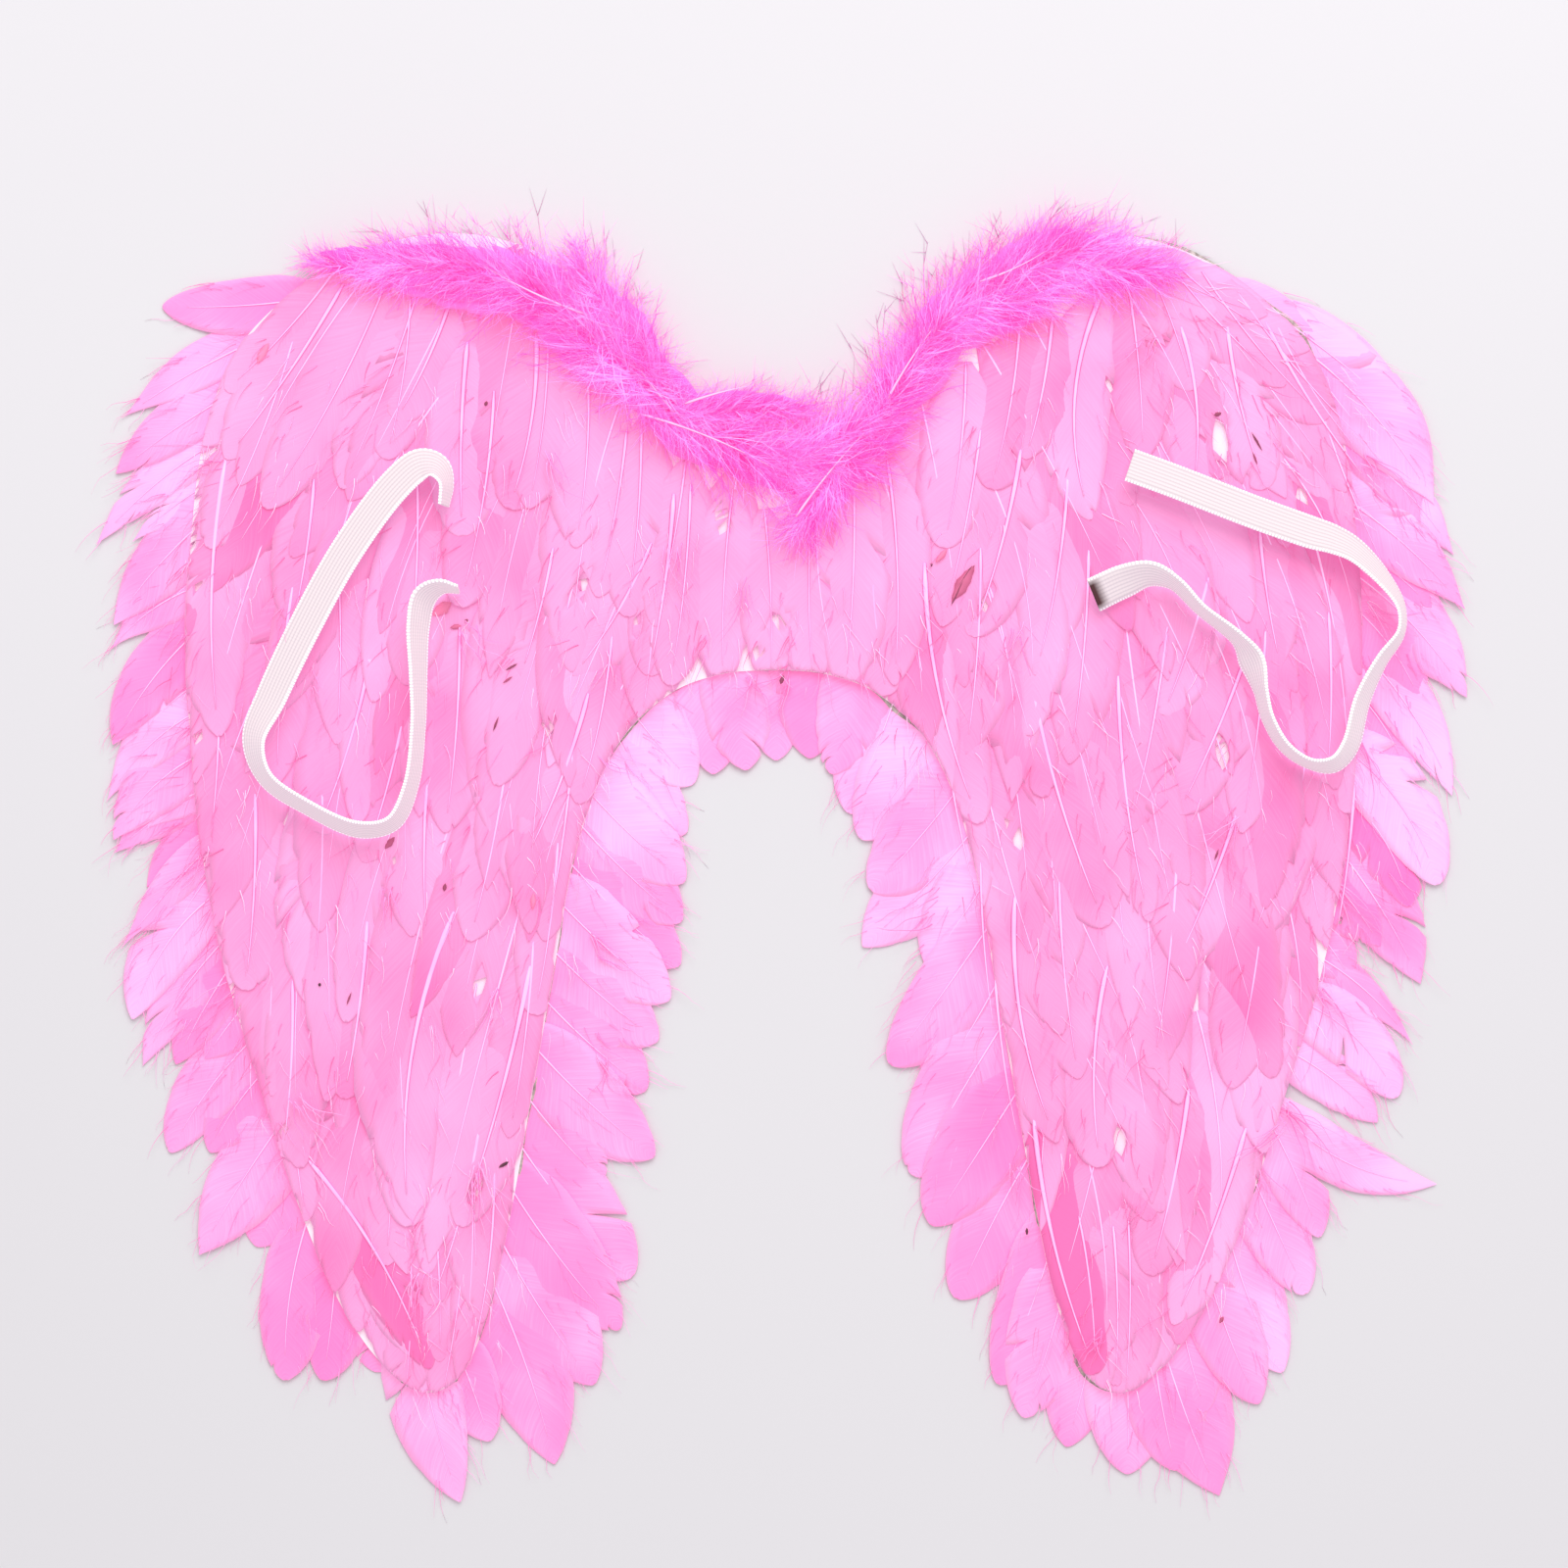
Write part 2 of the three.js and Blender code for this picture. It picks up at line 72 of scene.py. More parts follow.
def linearColour(code):
    # sRGB hex to the linear values that the shader works in
    values = [int(code[place:place + 2], 16) / 255 for place in (1, 3, 5)]
    linear = [v / 12.92 if v <= 0.04045 else ((v + 0.055) / 1.055) ** 2.4 for v in values]
    return (*linear, 1.0)


def addNode(tree, kind, settings=None, values=None, links=None):
    # one node with its settings, its fixed input values and what is linked into it
    made = tree.nodes.new(kind)
    for key, value in (settings or {}).items():
        setattr(made, key, value)
    for key, value in (values or {}).items():
        made.inputs[key].default_value = value
    for key, source in (links or {}).items():
        tree.links.new(source, made.inputs[key])
    return made


def newMaterial(name):
    # an empty material with its shader and its coordinates, ready for nodes
    material = bpy.data.materials.new(name)
    material.use_nodes = True
    tree = material.node_tree
    return material, tree, tree.nodes["Principled BSDF"], addNode(tree, "ShaderNodeTexCoord")


def maths(tree, operation, *inputs, clamp=False):
    # a maths node: each input is a fixed number or the socket that feeds it
    made = addNode(tree, "ShaderNodeMath", {"operation": operation, "use_clamp": clamp})
    for place, value in enumerate(inputs):
        if isinstance(value, bpy.types.NodeSocket):
            tree.links.new(value, made.inputs[place])
        else:
            made.inputs[place].default_value = value
    return made.outputs[0]


def noise(tree, vector, scale, detail=2.0, roughness=0.5):
    # soft noise from 0 to 1
    values = {"Scale": scale, "Detail": detail, "Roughness": roughness}
    return addNode(tree, "ShaderNodeTexNoise", values=values, links={"Vector": vector}).outputs["Fac"]


def mapped(tree, vector, scale):
    # the same coordinates stretched by a scale for each axis
    return addNode(tree, "ShaderNodeMapping", values={"Scale": scale}, links={"Vector": vector}).outputs[0]


def mixed(tree, factor, first, second):
    # the first colour with the second laid over it: each a socket, or the second a hex colour
    made = addNode(tree, "ShaderNodeMix", {"data_type": "RGBA"}, links={0: factor, 6: first})
    if isinstance(second, str):
        made.inputs[7].default_value = linearColour(second)
    else:
        tree.links.new(second, made.inputs[7])
    return made.outputs[2]


def toneParts(tree):
    # the piece's own tone attribute as red, green and blue sockets
    tone = addNode(tree, "ShaderNodeVertexColor", {"layer_name": "tone"})
    parts = addNode(tree, "ShaderNodeSeparateColor", links={"Color": tone.outputs["Color"]})
    return parts.outputs


def finishShader(tree, shader, colour, roughness, relief=None, glow=0.0, sheen=0.0):
    # Base colour and roughness, then what is given: relief as height, strength and distance,
    # glow in the base colour, painted light that stands in for light that comes through and lifts the
    # shade, and sheen
    tree.links.new(colour, shader.inputs["Base Color"])
    shader.inputs["Roughness"].default_value = roughness
    shader.inputs["Sheen Weight"].default_value = sheen
    if relief:
        height, strength, distance = relief
        bump = addNode(tree, "ShaderNodeBump", values={"Strength": strength, "Distance": distance},
                       links={"Height": height})
        tree.links.new(bump.outputs[0], shader.inputs["Normal"])
    if glow:
        tree.links.new(colour, shader.inputs["Emission Color"])
        shader.inputs["Emission Strength"].default_value = glow


def colourRamp(tree, factor, stops):
    # colour ramp between hex colours at the given places
    ramp = addNode(tree, "ShaderNodeValToRGB", links={"Fac": factor})
    elements = ramp.color_ramp.elements
    while len(elements) < len(stops):
        elements.new(0.5)
    for element, (place, code) in zip(elements, stops):
        element.position = place
        element.color = linearColour(code)
    return ramp.outputs["Color"]


def addPiece(name, points, faces, material, uv=None, tone=None, smooth=True):
    # a mesh piece from whole arrays: faces is a list of index arrays, quads or triangles
    mesh = bpy.data.meshes.new(name)
    points = np.asarray(points, float).reshape(-1, 3)
    corners = np.concatenate([block.reshape(-1) for block in faces]).astype(np.int32)
    sizes = np.concatenate([np.full(len(block), block.shape[1]) for block in faces]).astype(np.int32)
    starts = np.concatenate([[0], np.cumsum(sizes)[:-1]]).astype(np.int32)
    mesh.vertices.add(len(points))
    mesh.vertices.foreach_set("co", points.astype(np.float32).ravel())
    mesh.loops.add(len(corners))
    mesh.loops.foreach_set("vertex_index", corners)
    mesh.polygons.add(len(sizes))
    mesh.polygons.foreach_set("loop_start", starts)
    mesh.polygons.foreach_set("loop_total", sizes)
    mesh.update(calc_edges=True)
    mesh.polygons.foreach_set("use_smooth", np.full(len(sizes), smooth))
    if uv is not None:
        layer = mesh.uv_layers.new(name="UVMap")
        layer.data.foreach_set("uv", uv.reshape(-1, 2)[corners].astype(np.float32).ravel())
    if tone is not None:
        layer = mesh.color_attributes.new("tone", "FLOAT_COLOR", "POINT")
        layer.data.foreach_set("color", tone.reshape(-1, 4).astype(np.float32).ravel())
    mesh.validate()
    piece = bpy.data.objects.new(name, mesh)
    bpy.context.scene.collection.objects.link(piece)
    mesh.materials.append(material)
    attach(piece, "root")
    return piece


def solidify(piece, thickness):
    # gives a sheet its wall, below the sheet's own face
    wall = piece.modifiers.new("wall", "SOLIDIFY")
    wall.thickness = thickness
    wall.offset = -1.0


def gridFaces(count, rows, columns, closed=False, acrossFirst=False):
    # Quads of count grids of rows by columns points. A closed grid joins its last column to its
    # first, and acrossFirst turns the faces over.
    g, i, j = np.meshgrid(np.arange(count), np.arange(rows - 1), np.arange(columns - (not closed)),
                          indexing="ij")
    after = (j + 1) % columns
    here = (g * rows + i) * columns
    following = here + columns
    corners = [here + j, following + j, following + after, here + after]
    if acrossFirst:
        corners = [corners[0], corners[3], corners[2], corners[1]]
    return np.stack(corners, -1)


def toneOf(red, green=0.0, blue=0.0):
    # the tone attribute: own shade, place along and place across; on a shaft the own shade is painted
    # shading round its section
    return np.stack(np.broadcast_arrays(red, green, blue, 1.0), -1)


def asTable(names, rows):
    # a short table with named columns, as whole arrays
    values = np.array(rows, float)
    return {name: values[:, place].copy() for place, name in enumerate(names)}


def smoothNoise(place, seeds, waves=5, base=1.0):
    # a steady noise about 0, one line for each seed: a sum of sines of rising frequency
    total = np.zeros(np.broadcast(place, seeds).shape)
    for wave in range(1, waves + 1):
        phase = 12.9898 * seeds * wave + 4.1414 * wave * wave
        total = total + np.sin(2 * math.pi * base * wave * 0.83 * place + phase) / wave ** 0.7
    return total / 2.2


# feathers

vane = {
    "stations": 32,          # barb columns along the shaft
    "linesPerSide": 4,       # lines across on each side of the shaft
    "crowding": 1.3,         # how much closer the stations stand toward the tip
    "barbSweep": 0.85,       # how far forward a barb's end lies, as a share of the length
    "fullFrom": 0.36,        # the vane reaches its full width here
    "closesFrom": 0.42,      # and starts to close here
    "closing": 2.2,          # how late it closes
    "rootShare": 0.16,       # width at the very root, as a share of the full width
    "curlFrom": 0.55,        # the tip curls up beyond here
    "wall": 0.00012,
    "splitsPerSide": 4,
    "splitStart": (0.15, 0.75),      # where a split starts, as a share of the half width
    "splitOpening": (0.004, 0.03),   # how far it opens at the edge, as a share of the length
    "splitReach": 0.05,              # how far along the shaft the barbs give way to it
    "notchDepth": 0.30,              # a ragged edge's notches, as a share of the half width
    "grainDepth": 0.10,              # and its uneven barb ends
    "lopsided": 0.16,                # how much wider one side may be
    "waveHeight": 0.0005,
}
quill = {"sides": 6, "stations": 14, "taper": 0.86, "flatness": 0.7, "blunt": 0.05}


def shaftPath(get, s):
    # The shaft at the share s of its length: straight from base to tip plus a bow of 4s(1-s),
    # with a steady rise, an arch of 4s(1-s) and a curl of the tip. Gives the place, the unit
    # vector to the shaft's left, the slope that the bow adds and the length.
    dx, dy = get("tipX") - get("baseX"), get("tipY") - get("baseY")
    length = np.sqrt(dx * dx + dy * dy)
    left = (-dy / length, dx / length)
    bow = get("bow") * length
    aside = 4 * bow * s * (1 - s)
    x = get("baseX") + dx * s + left[0] * aside
    y = get("baseY") + dy * s + left[1] * aside
    z = get("lift") + get("rise") * length * s + get("arch") * length * 4 * s * (1 - s)
    z = z + get("curl") * length * np.clip(s - vane["curlFrom"], 0, 1) ** 2 * 4
    return (x, y, z), left, 4 * bow * (1 - 2 * s) / length, length


def closingWidth(s, pointed):
    # half width at s as a share of the full one, where the vane closes toward its tip: an oval
    closing = np.clip((s - vane["closesFrom"]) / (1 - vane["closesFrom"]), 0, 1)
    return (1 - closing ** vane["closing"]) ** pointed


def featherGrid(feathers, seed):
    # A vane on a grid: station u runs along the shaft and line v across it, from -1 to 1.
    # A point lies on the shaft at s = u + sweep |v| u(1-u), moved sideways by v times the half
    # width at s. The half width rises over the first third, stays full and closes as an oval.
    rng = np.random.default_rng(seed)
    count = len(feathers["baseX"])
    stations, lines = vane["stations"], vane["linesPerSide"]
    column = lambda name: feathers[name][:, None, None]
    run = np.linspace(0, 1, stations)
    u = (1 - (1 - run) ** vane["crowding"])[None, :, None] * np.ones((count, 1, 1))
    v = np.linspace(-1, 1, 2 * lines + 1)[None, None, :] * np.ones((count, stations, 1))
    side = np.abs(v)
    own = rng.random((count, 1, 1)) * 40
    # splits: barb columns part from place v0 outward, and open toward the vane's edge
    openU = u + 0 * v
    cuts = np.zeros((count, stations - 1, 2 * lines), bool)
    lineMiddle = (v[:, :1, 1:] + v[:, :1, :-1]) / 2
    gapMiddle = (u[:, 1:, :] + u[:, :-1, :]) / 2
    index = np.arange(stations)[None, :, None]
    for split in range(vane["splitsPerSide"]):
        for sign in (-1, 1):
            used = rng.random((count, 1, 1)) * 2 * vane["splitsPerSide"] < column("splits")
            place = rng.integers(5, stations - 4, (count, 1, 1))
            start = rng.uniform(*vane["splitStart"], (count, 1, 1))
            opening = rng.uniform(*vane["splitOpening"], (count, 1, 1)) * used
            where = np.take_along_axis(gapMiddle, place, 1)
            onSide = np.sign(v) == sign
            past = np.clip((side - start) / (1 - start), 0, 1) * onSide
            give = np.exp(-np.abs(u - where) / vane["splitReach"])
            openU = openU + np.sign(u - where) * opening * past ** 1.5 * give
            isGap = index[:, :-1] == place
            cuts |= isGap & used & (np.abs(lineMiddle) > start) & (np.sign(lineMiddle) == sign)
            halfStep = 0.5 * (np.take_along_axis(u, place + 1, 1) - np.take_along_axis(u, place, 1))
            closing = halfStep * used * onSide * (side >= start - 1 / lines) * (1 - past)
            openU = openU + closing * (index == place) - closing * (index == place + 1)
    openU = np.clip(openU, 0, 0.998)
    ragged = column("ragged")
    notches = vane["notchDepth"] * np.clip(smoothNoise(u * 1.0, own + 7 * (v > 0), 6, 2.2), -0.4, 1.2)
    grain = rng.uniform(-1, 1, u.shape) * ragged * vane["grainDepth"]
    reach = 1 - ragged * (notches + grain) * side ** 2 * np.clip(u * 1.6, 0, 1)
    s = openU + vane["barbSweep"] * side * reach * openU * (1 - openU)
    s = np.clip(s, 0, 0.998)
    rootPart = np.clip(s / vane["fullFrom"], 0, 1)
    grow = vane["rootShare"] + (1 - vane["rootShare"]) * (1 - (1 - rootPart) ** 1.8)
    close = closingWidth(s, column("pointed"))
    uneven = 1 + vane["lopsided"] * v * column("lopsided")
    across = v * reach * uneven * grow * close * column("width") / 2
    (x, y, z), left, slope, length = shaftPath(column, s)
    norm = np.sqrt(1 + slope * slope)
    x = x + across * (left[0] - slope * left[1]) / norm
    y = y + across * (left[1] + slope * left[0]) / norm
    # a roll, a camber and a slight wave over the shaft's own height
    z = z + across * (column("roll") + column("twist") * s)
    z = z - column("camber") * np.abs(across) * side
    wave = smoothNoise(s * 1.5, own + 3, 3, 1.0) * np.clip(side - 0.1, 0, 1)
    z = np.maximum(z + vane["waveHeight"] * wave * column("wavy"), column("floor"))
    points = np.stack([x, y, z], -1)
    uv = np.stack([across, openU * length], -1)
    tone = toneOf(column("tone") + 0 * s, s, side)
    return points, gridFaces(count, stations, 2 * lines + 1), ~cuts, uv, tone


def quillGrid(feathers, radius, until, lift):
    # A tapered shaft along the same line as its vane: a ring of points round each place,
    # thick at the root and thin where it ends
    sides, stations = quill["sides"], quill["stations"]
    column = lambda name: feathers[name][:, None, None]
    s = np.linspace(0.0, 1, stations)[None, :, None] * until
    (x, y, z), left, slope, length = shaftPath(column, s)
    turn = np.linspace(0, 2 * math.pi, sides, endpoint=False)[None, None, :]
    blunt = np.clip(s / quill["blunt"] + 0.25, 0, 1) ** 0.5
    ring = radius[:, None, None] * (1 - s / until * quill["taper"]) * blunt
    out = np.cos(turn) * ring
    z = np.maximum(z + lift + np.sin(turn) * ring * quill["flatness"], column("floor") + lift * 0.5)
    points = np.stack(np.broadcast_arrays(x + left[0] * out, y + left[1] * out, z), -1)
    count = len(points)
    quads = gridFaces(count, stations, sides, True, True).reshape(-1, 4)
    start = np.arange(count)[:, None] * stations * sides
    rootCap = start + np.arange(sides)[::-1][None, :]
    tipCap = start + (stations - 1) * sides + np.arange(sides)[None, :]
    # tone 1 on the flanks and 0 on the top and the underside: painted shade on the flanks and a painted
    # highlight along the top
    return points, [quads, rootCap, tipCap], toneOf(np.cos(turn) ** 4 + 0 * x, s)


def strandGrid(roots, heading, climb, length, radius, bend, droop, wiggle, seed, rings, shade=None):
    # Thin three-sided strands. A strand leaves its root along its heading and climb, bends
    # sideways with t squared, droops with t squared and wiggles as a sine that grows with t.
    rng = np.random.default_rng(seed)
    count = len(roots)
    t = np.linspace(0, 1, rings)[None, :]
    forward = np.stack([np.cos(heading), np.sin(heading)], -1)
    beside = np.stack([-forward[:, 1], forward[:, 0]], -1)
    phase = rng.uniform(0, 2 * math.pi, (count, 1))
    wave = np.sin(2.6 * math.pi * t + phase) - np.sin(phase)
    sway = bend[:, None] * t ** 2 + wiggle[:, None] * wave * t
    ahead = np.cos(climb)[:, None] * t * length[:, None]
    up = (np.sin(climb)[:, None] * t - droop[:, None] * t ** 2) * length[:, None]
    sway = sway * length[:, None]
    centre = np.empty((count, rings, 3))
    centre[..., 0] = roots[:, None, 0] + forward[:, None, 0] * ahead + beside[:, None, 0] * sway
    centre[..., 1] = roots[:, None, 1] + forward[:, None, 1] * ahead + beside[:, None, 1] * sway
    centre[..., 2] = roots[:, None, 2] + up
    angle = 2 * math.pi * np.arange(3) / 3
    thick = radius[:, None] * (1 - 0.8 * t)
    ringX = np.cos(angle)[None, None, :] * thick[..., None]
    ringZ = np.sin(angle)[None, None, :] * thick[..., None]
    points = centre[:, :, None, :] + 0 * ringX[..., None]
    points[..., 0] += beside[:, None, None, 0] * ringX
    points[..., 1] += beside[:, None, None, 1] * ringX
    points[..., 2] += ringZ
    quads = gridFaces(count, rings, 3, True).reshape(-1, 4)
    start = np.arange(count)[:, None] * rings * 3
    caps = [start + np.array([[0, 1, 2]]), start + (rings - 1) * 3 + np.array([[2, 1, 0]])]
    own = shade[:, None, None] if shade is not None else rng.random((count, 1, 1))
    return points, quads, np.concatenate(caps), toneOf(own, t[..., None] + 0 * ringX), centre


# materials


def dyedFeather(name, deep, middle, pale, edge, glow):
    # Dyed goose feather: the barbs lie side by side as fine streaks with a satin lustre.
    # Streaks are drawn 0.9 mm wide, because real barbs of 0.3 mm are too fine to show.
    material, tree, shader, place = newMaterial(name)
    tone = toneParts(tree)
    streak = noise(tree, mapped(tree, place.outputs["UV"], (60, 1100, 1)), 1.0, 3.0, 0.6)
    cloud = noise(tree, place.outputs["Object"], 17.0)
    weak = maths(tree, "MULTIPLY_ADD", streak, 0.44, -0.22)
    soft = maths(tree, "MULTIPLY_ADD", cloud, 1.1, -0.55)
    total = maths(tree, "ADD", tone["Red"], maths(tree, "ADD", weak, soft), clamp=True)
    body = colourRamp(tree, total, [(0.05, deep), (0.5, middle), (0.95, pale)])
    # painted light: the outermost lines turn toward the paler edge colour, for light that comes through the
    # thin barb ends
    rim = maths(tree, "MULTIPLY", maths(tree, "POWER", tone["Blue"], 7.0), 0.5)
    colour = mixed(tree, rim, body, edge)
    # the glow is painted light that stands in for light through the vanes and lifts the shade between the
    # layers
    finishShader(tree, shader, colour, 0.62, (streak, 0.35, 0.0004), glow, 0.25)
    return material


def toneFibre(name, deep, middle, pale, glow, roughness):
    # Fibres and horn: each strand has its own shade, because the dye takes unevenly, and a
    # shaft is painted deeper along its flanks and paler along its top, painted shade and highlight
    material, tree, shader, place = newMaterial(name)
    soft = maths(tree, "MULTIPLY_ADD", noise(tree, place.outputs["Object"], 45.0), 1.0, -0.5)
    total = maths(tree, "ADD", toneParts(tree)["Red"], soft, clamp=True)
    colour = colourRamp(tree, total, [(0.0, deep), (0.5, middle), (1.0, pale)])
    # the glow is painted light that lifts the shade among the strands
    finishShader(tree, shader, colour, roughness, glow=glow)
    return material


def bondedCloth():
    # Bonded non-woven cloth: short fibres pressed flat, white with a breath of pink from the
    # dye, and thin enough for the white board to shine through. Its glow is painted light that lightens it
    # in the shade between the feathers
    material, tree, shader, place = newMaterial("bonded_nonwoven_cloth")
    fibres = noise(tree, place.outputs["Object"], 900.0, 4.0)
    cloud = noise(tree, place.outputs["Object"], 14.0)
    colour = colourRamp(tree, cloud, [(0.3, "#f3d9e9"), (0.7, "#f8ebf3")])
    finishShader(tree, shader, colour, 0.9, (fibres, 0.3, 0.0002), 0.12)
    return material


def woundTape():
    # Cloth tape wound round wire: matt grey with slanting creases every few millimetres
    material, tree, shader, place = newMaterial("wound_cloth_tape")
    crease = noise(tree, mapped(tree, place.outputs["UV"], (200, 200, 1)), 1.0, 3.0)
    # painted shade: the colour darkens where the same noise sinks the creases
    colour = colourRamp(tree, crease, [(0.35, "#8f8580"), (0.65, "#c9bfb8")])
    finishShader(tree, shader, colour, 0.6, (crease, 0.7, 0.0006))
    return material


def wovenElastic():
    # Woven elastic: white yarn over rubber cores, fine cross picks and beaded edges; painted shade
    # greyer between the ribs and on the sunk picks. Its glow is painted light for the pink light that
    # the feathers throw up through it and for its shaded side, and is left off the dried glue at its end.
    material, tree, shader, place = newMaterial("woven_elastic")
    split = addNode(tree, "ShaderNodeSeparateXYZ", links={"Vector": place.outputs["UV"]})
    across, along = split.outputs["X"], split.outputs["Y"]
    picks = maths(tree, "SINE", maths(tree, "MULTIPLY", along, 2 * math.pi / strap["toothPitch"]))
    ribs = maths(tree, "COSINE", maths(tree, "MULTIPLY", across, 2 * math.pi * strap["ribs"]))
    ribPart = maths(tree, "MULTIPLY_ADD", ribs, 0.5, 0.5, clamp=True)
    glue = toneParts(tree)["Red"]
    # painted shade: the yarn is greyer in the valleys between the ribs, and the edge beads darker where the
    # picks sink
    yarn = colourRamp(tree, ribPart, [(0.0, "#b8aba4"), (0.6, "#b0a39c"), (1.0, "#988b86")])
    bead = colourRamp(tree, picks, [(0.0, "#b5aca9"), (0.25, "#f4f0ee"), (1.0, "#ffffff")])
    fromMiddle = maths(tree, "ABSOLUTE", maths(tree, "SUBTRACT", across, 0.5))
    edged = mixed(tree, maths(tree, "GREATER_THAN", fromMiddle, 0.445), yarn, bead)
    colour = mixed(tree, glue, edged, "#4c2428")
    finishShader(tree, shader, colour, 0.85, (picks, 0.25, 0.0002), sheen=0.2)
    # painted light: a lilac-white glow over the yarn, none on the glue
    shader.inputs["Emission Color"].default_value = linearColour("#f8eaff")
    paintedGlow = maths(tree, "MULTIPLY_ADD", glue, -0.46, 0.46)
    tree.links.new(paintedGlow, shader.inputs["Emission Strength"])
    return material


def paleTable():
    # Painted board: an even cool white, matt, with nothing to see in it
    material, tree, shader, place = newMaterial("painted_board")
    cloud = noise(tree, place.outputs["Object"], 1.2)
    colour = colourRamp(tree, cloud, [(0.3, "#d9d6da"), (0.7, "#dbd8dc")])
    finishShader(tree, shader, colour, 0.8)
    shader.inputs["Specular IOR Level"].default_value = 0.2
    return material


# cloth sheet and its wire

sheet = {
    "thickness": 0.0008,
    "top": 0.0027,
    "columns": 150,
    "rows": 24,
    "wireWidth": 0.0024,
    "wireHeight": 0.0011,
    "wireMiddle": 0.0013,
    "wireInset": 0.0011,      # the wire's middle lies this far inside the sheet's edge
    "wireSteps": 900,
}
# places where the taped wire has slipped out past the sheet, in photo pixels: place, how far
# along the edge, and how far out in millimetres
slipNames = ["column", "row", "along", "out"]
slipTable = [
    (545, 1095, 34, 2.0), (526, 1205, 30, 1.8), (1322, 334, 30, 2.6), (922, 718, 22, 2.6),
    (440, 1385, 40, 1.6), (1112, 1385, 40, 1.8), (372, 254, 46, 1.3), (1208, 256, 46, 1.5),
    (575, 930, 40, 1.2), (640, 735, 30, 1.0), (1268, 1215, 26, 1.2), (1048, 1250, 24, 1.3),
]
# half of the sheet's edge from the neck to the arch, as shares of half the width and the height
edgeTable = [
    (0.00, 0.803), (0.10, 0.826), (0.19, 0.870), (0.27, 0.925), (0.36, 0.972), (0.46, 0.995),
    (0.58, 1.000), (0.71, 0.983), (0.83, 0.945), (0.92, 0.893), (0.97, 0.820), (0.99, 0.740),
    (1.00, 0.650), (0.99, 0.555), (0.97, 0.460), (0.93, 0.360), (0.87, 0.260), (0.81, 0.165),
    (0.735, 0.075), (0.66, 0.022), (0.59, 0.000), (0.53, 0.016), (0.485, 0.070), (0.445, 0.160),
    (0.41, 0.260), (0.375, 0.360), (0.335, 0.470), (0.27, 0.555), (0.18, 0.602), (0.09, 0.620),
    (0.00, 0.624),
]
halfWidth = (sheetHigh[0] - sheetLow[0]) / 2
sheetHeight = sheetHigh[1] - sheetLow[1]


def smoothCurve(table, steps):
    # a centripetal Catmull-Rom curve through the table's points, with steps places on each span
    knots = np.array(table, float)
    padded = np.vstack([2 * knots[0] - knots[1], knots, 2 * knots[-1] - knots[-2]])
    p0, p1, p2, p3 = padded[:-3], padded[1:-2], padded[2:-1], padded[3:]
    apart = lambda a, b: np.maximum(np.linalg.norm(b - a, axis=1) ** 0.5, 1e-9)[:, None, None]
    t0 = 0.0
    t1 = t0 + apart(p0, p1)
    t2 = t1 + apart(p1, p2)
    t3 = t2 + apart(p2, p3)
    t = t1 + (t2 - t1) * np.linspace(0, 1, steps, endpoint=False)[None, :, None]
    p0, p1, p2, p3 = (p[:, None, :] for p in (p0, p1, p2, p3))
    a1 = (t1 - t) / (t1 - t0) * p0 + (t - t0) / (t1 - t0) * p1
    a2 = (t2 - t) / (t2 - t1) * p1 + (t - t1) / (t2 - t1) * p2
    a3 = (t3 - t) / (t3 - t2) * p2 + (t - t2) / (t3 - t2) * p3
    b1 = (t2 - t) / (t2 - t0) * a1 + (t - t0) / (t2 - t0) * a2
    b2 = (t3 - t) / (t3 - t1) * a2 + (t - t1) / (t3 - t1) * a3
    curve = (t2 - t) / (t2 - t1) * b1 + (t - t1) / (t2 - t1) * b2
    return np.vstack([curve.reshape(-1, knots.shape[1]), knots[-1:]])


def evenly(path, count):
    # the same path with places an equal run apart
    run = np.concatenate([[0], np.cumsum(np.linalg.norm(np.diff(path, axis=0), axis=1))])
    places = np.linspace(0, run[-1], count)
    return np.stack([np.interp(places, run, path[:, axis]) for axis in range(path.shape[1])], -1), places


halfEdge = smoothCurve(edgeTable, 40)
halfEdge = np.stack([halfEdge[:, 0] * halfWidth, halfEdge[:, 1] * sheetHeight + footY], -1)
widest = halfEdge[:, 0].max()


def edgeAt(across):
    # the sheet's upper and lower edge at these distances from its middle line
    turning = int(np.argmax(halfEdge[:, 0]))
    upper, lower = halfEdge[:turning + 1], halfEdge[turning:][::-1]
    top = np.interp(across, upper[:, 0], upper[:, 1])
    low = np.interp(across, np.maximum.accumulate(lower[:, 0]), lower[:, 1])
    return top, low


def makeSheet(material):
    # The sheet as a grid: each column of places runs from the lower to the upper edge, and the
    # columns are spaced by a sine so that they crowd at the round ends
    across = np.sin(np.linspace(0, math.pi / 2, sheet["columns"])) * 0.9995 * widest
    top, low = edgeAt(across)
    across = np.concatenate([-across[:0:-1], across]) + middleX
    top = np.concatenate([top[:0:-1], top])
    low = np.concatenate([low[:0:-1], low])
    part = np.linspace(0, 1, sheet["rows"])[None, :]
    x = across[:, None] + 0 * part
    y = low[:, None] + (top - low)[:, None] * part
    z = sheet["top"] + 0 * x
    points = np.stack([x, y, z], -1)
    quads = gridFaces(1, len(across), sheet["rows"]).reshape(-1, 4)
    piece = addPiece("cloth_sheet", points, [quads], material, smooth=False)
    solidify(piece, sheet["thickness"])
    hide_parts("wing_panel")


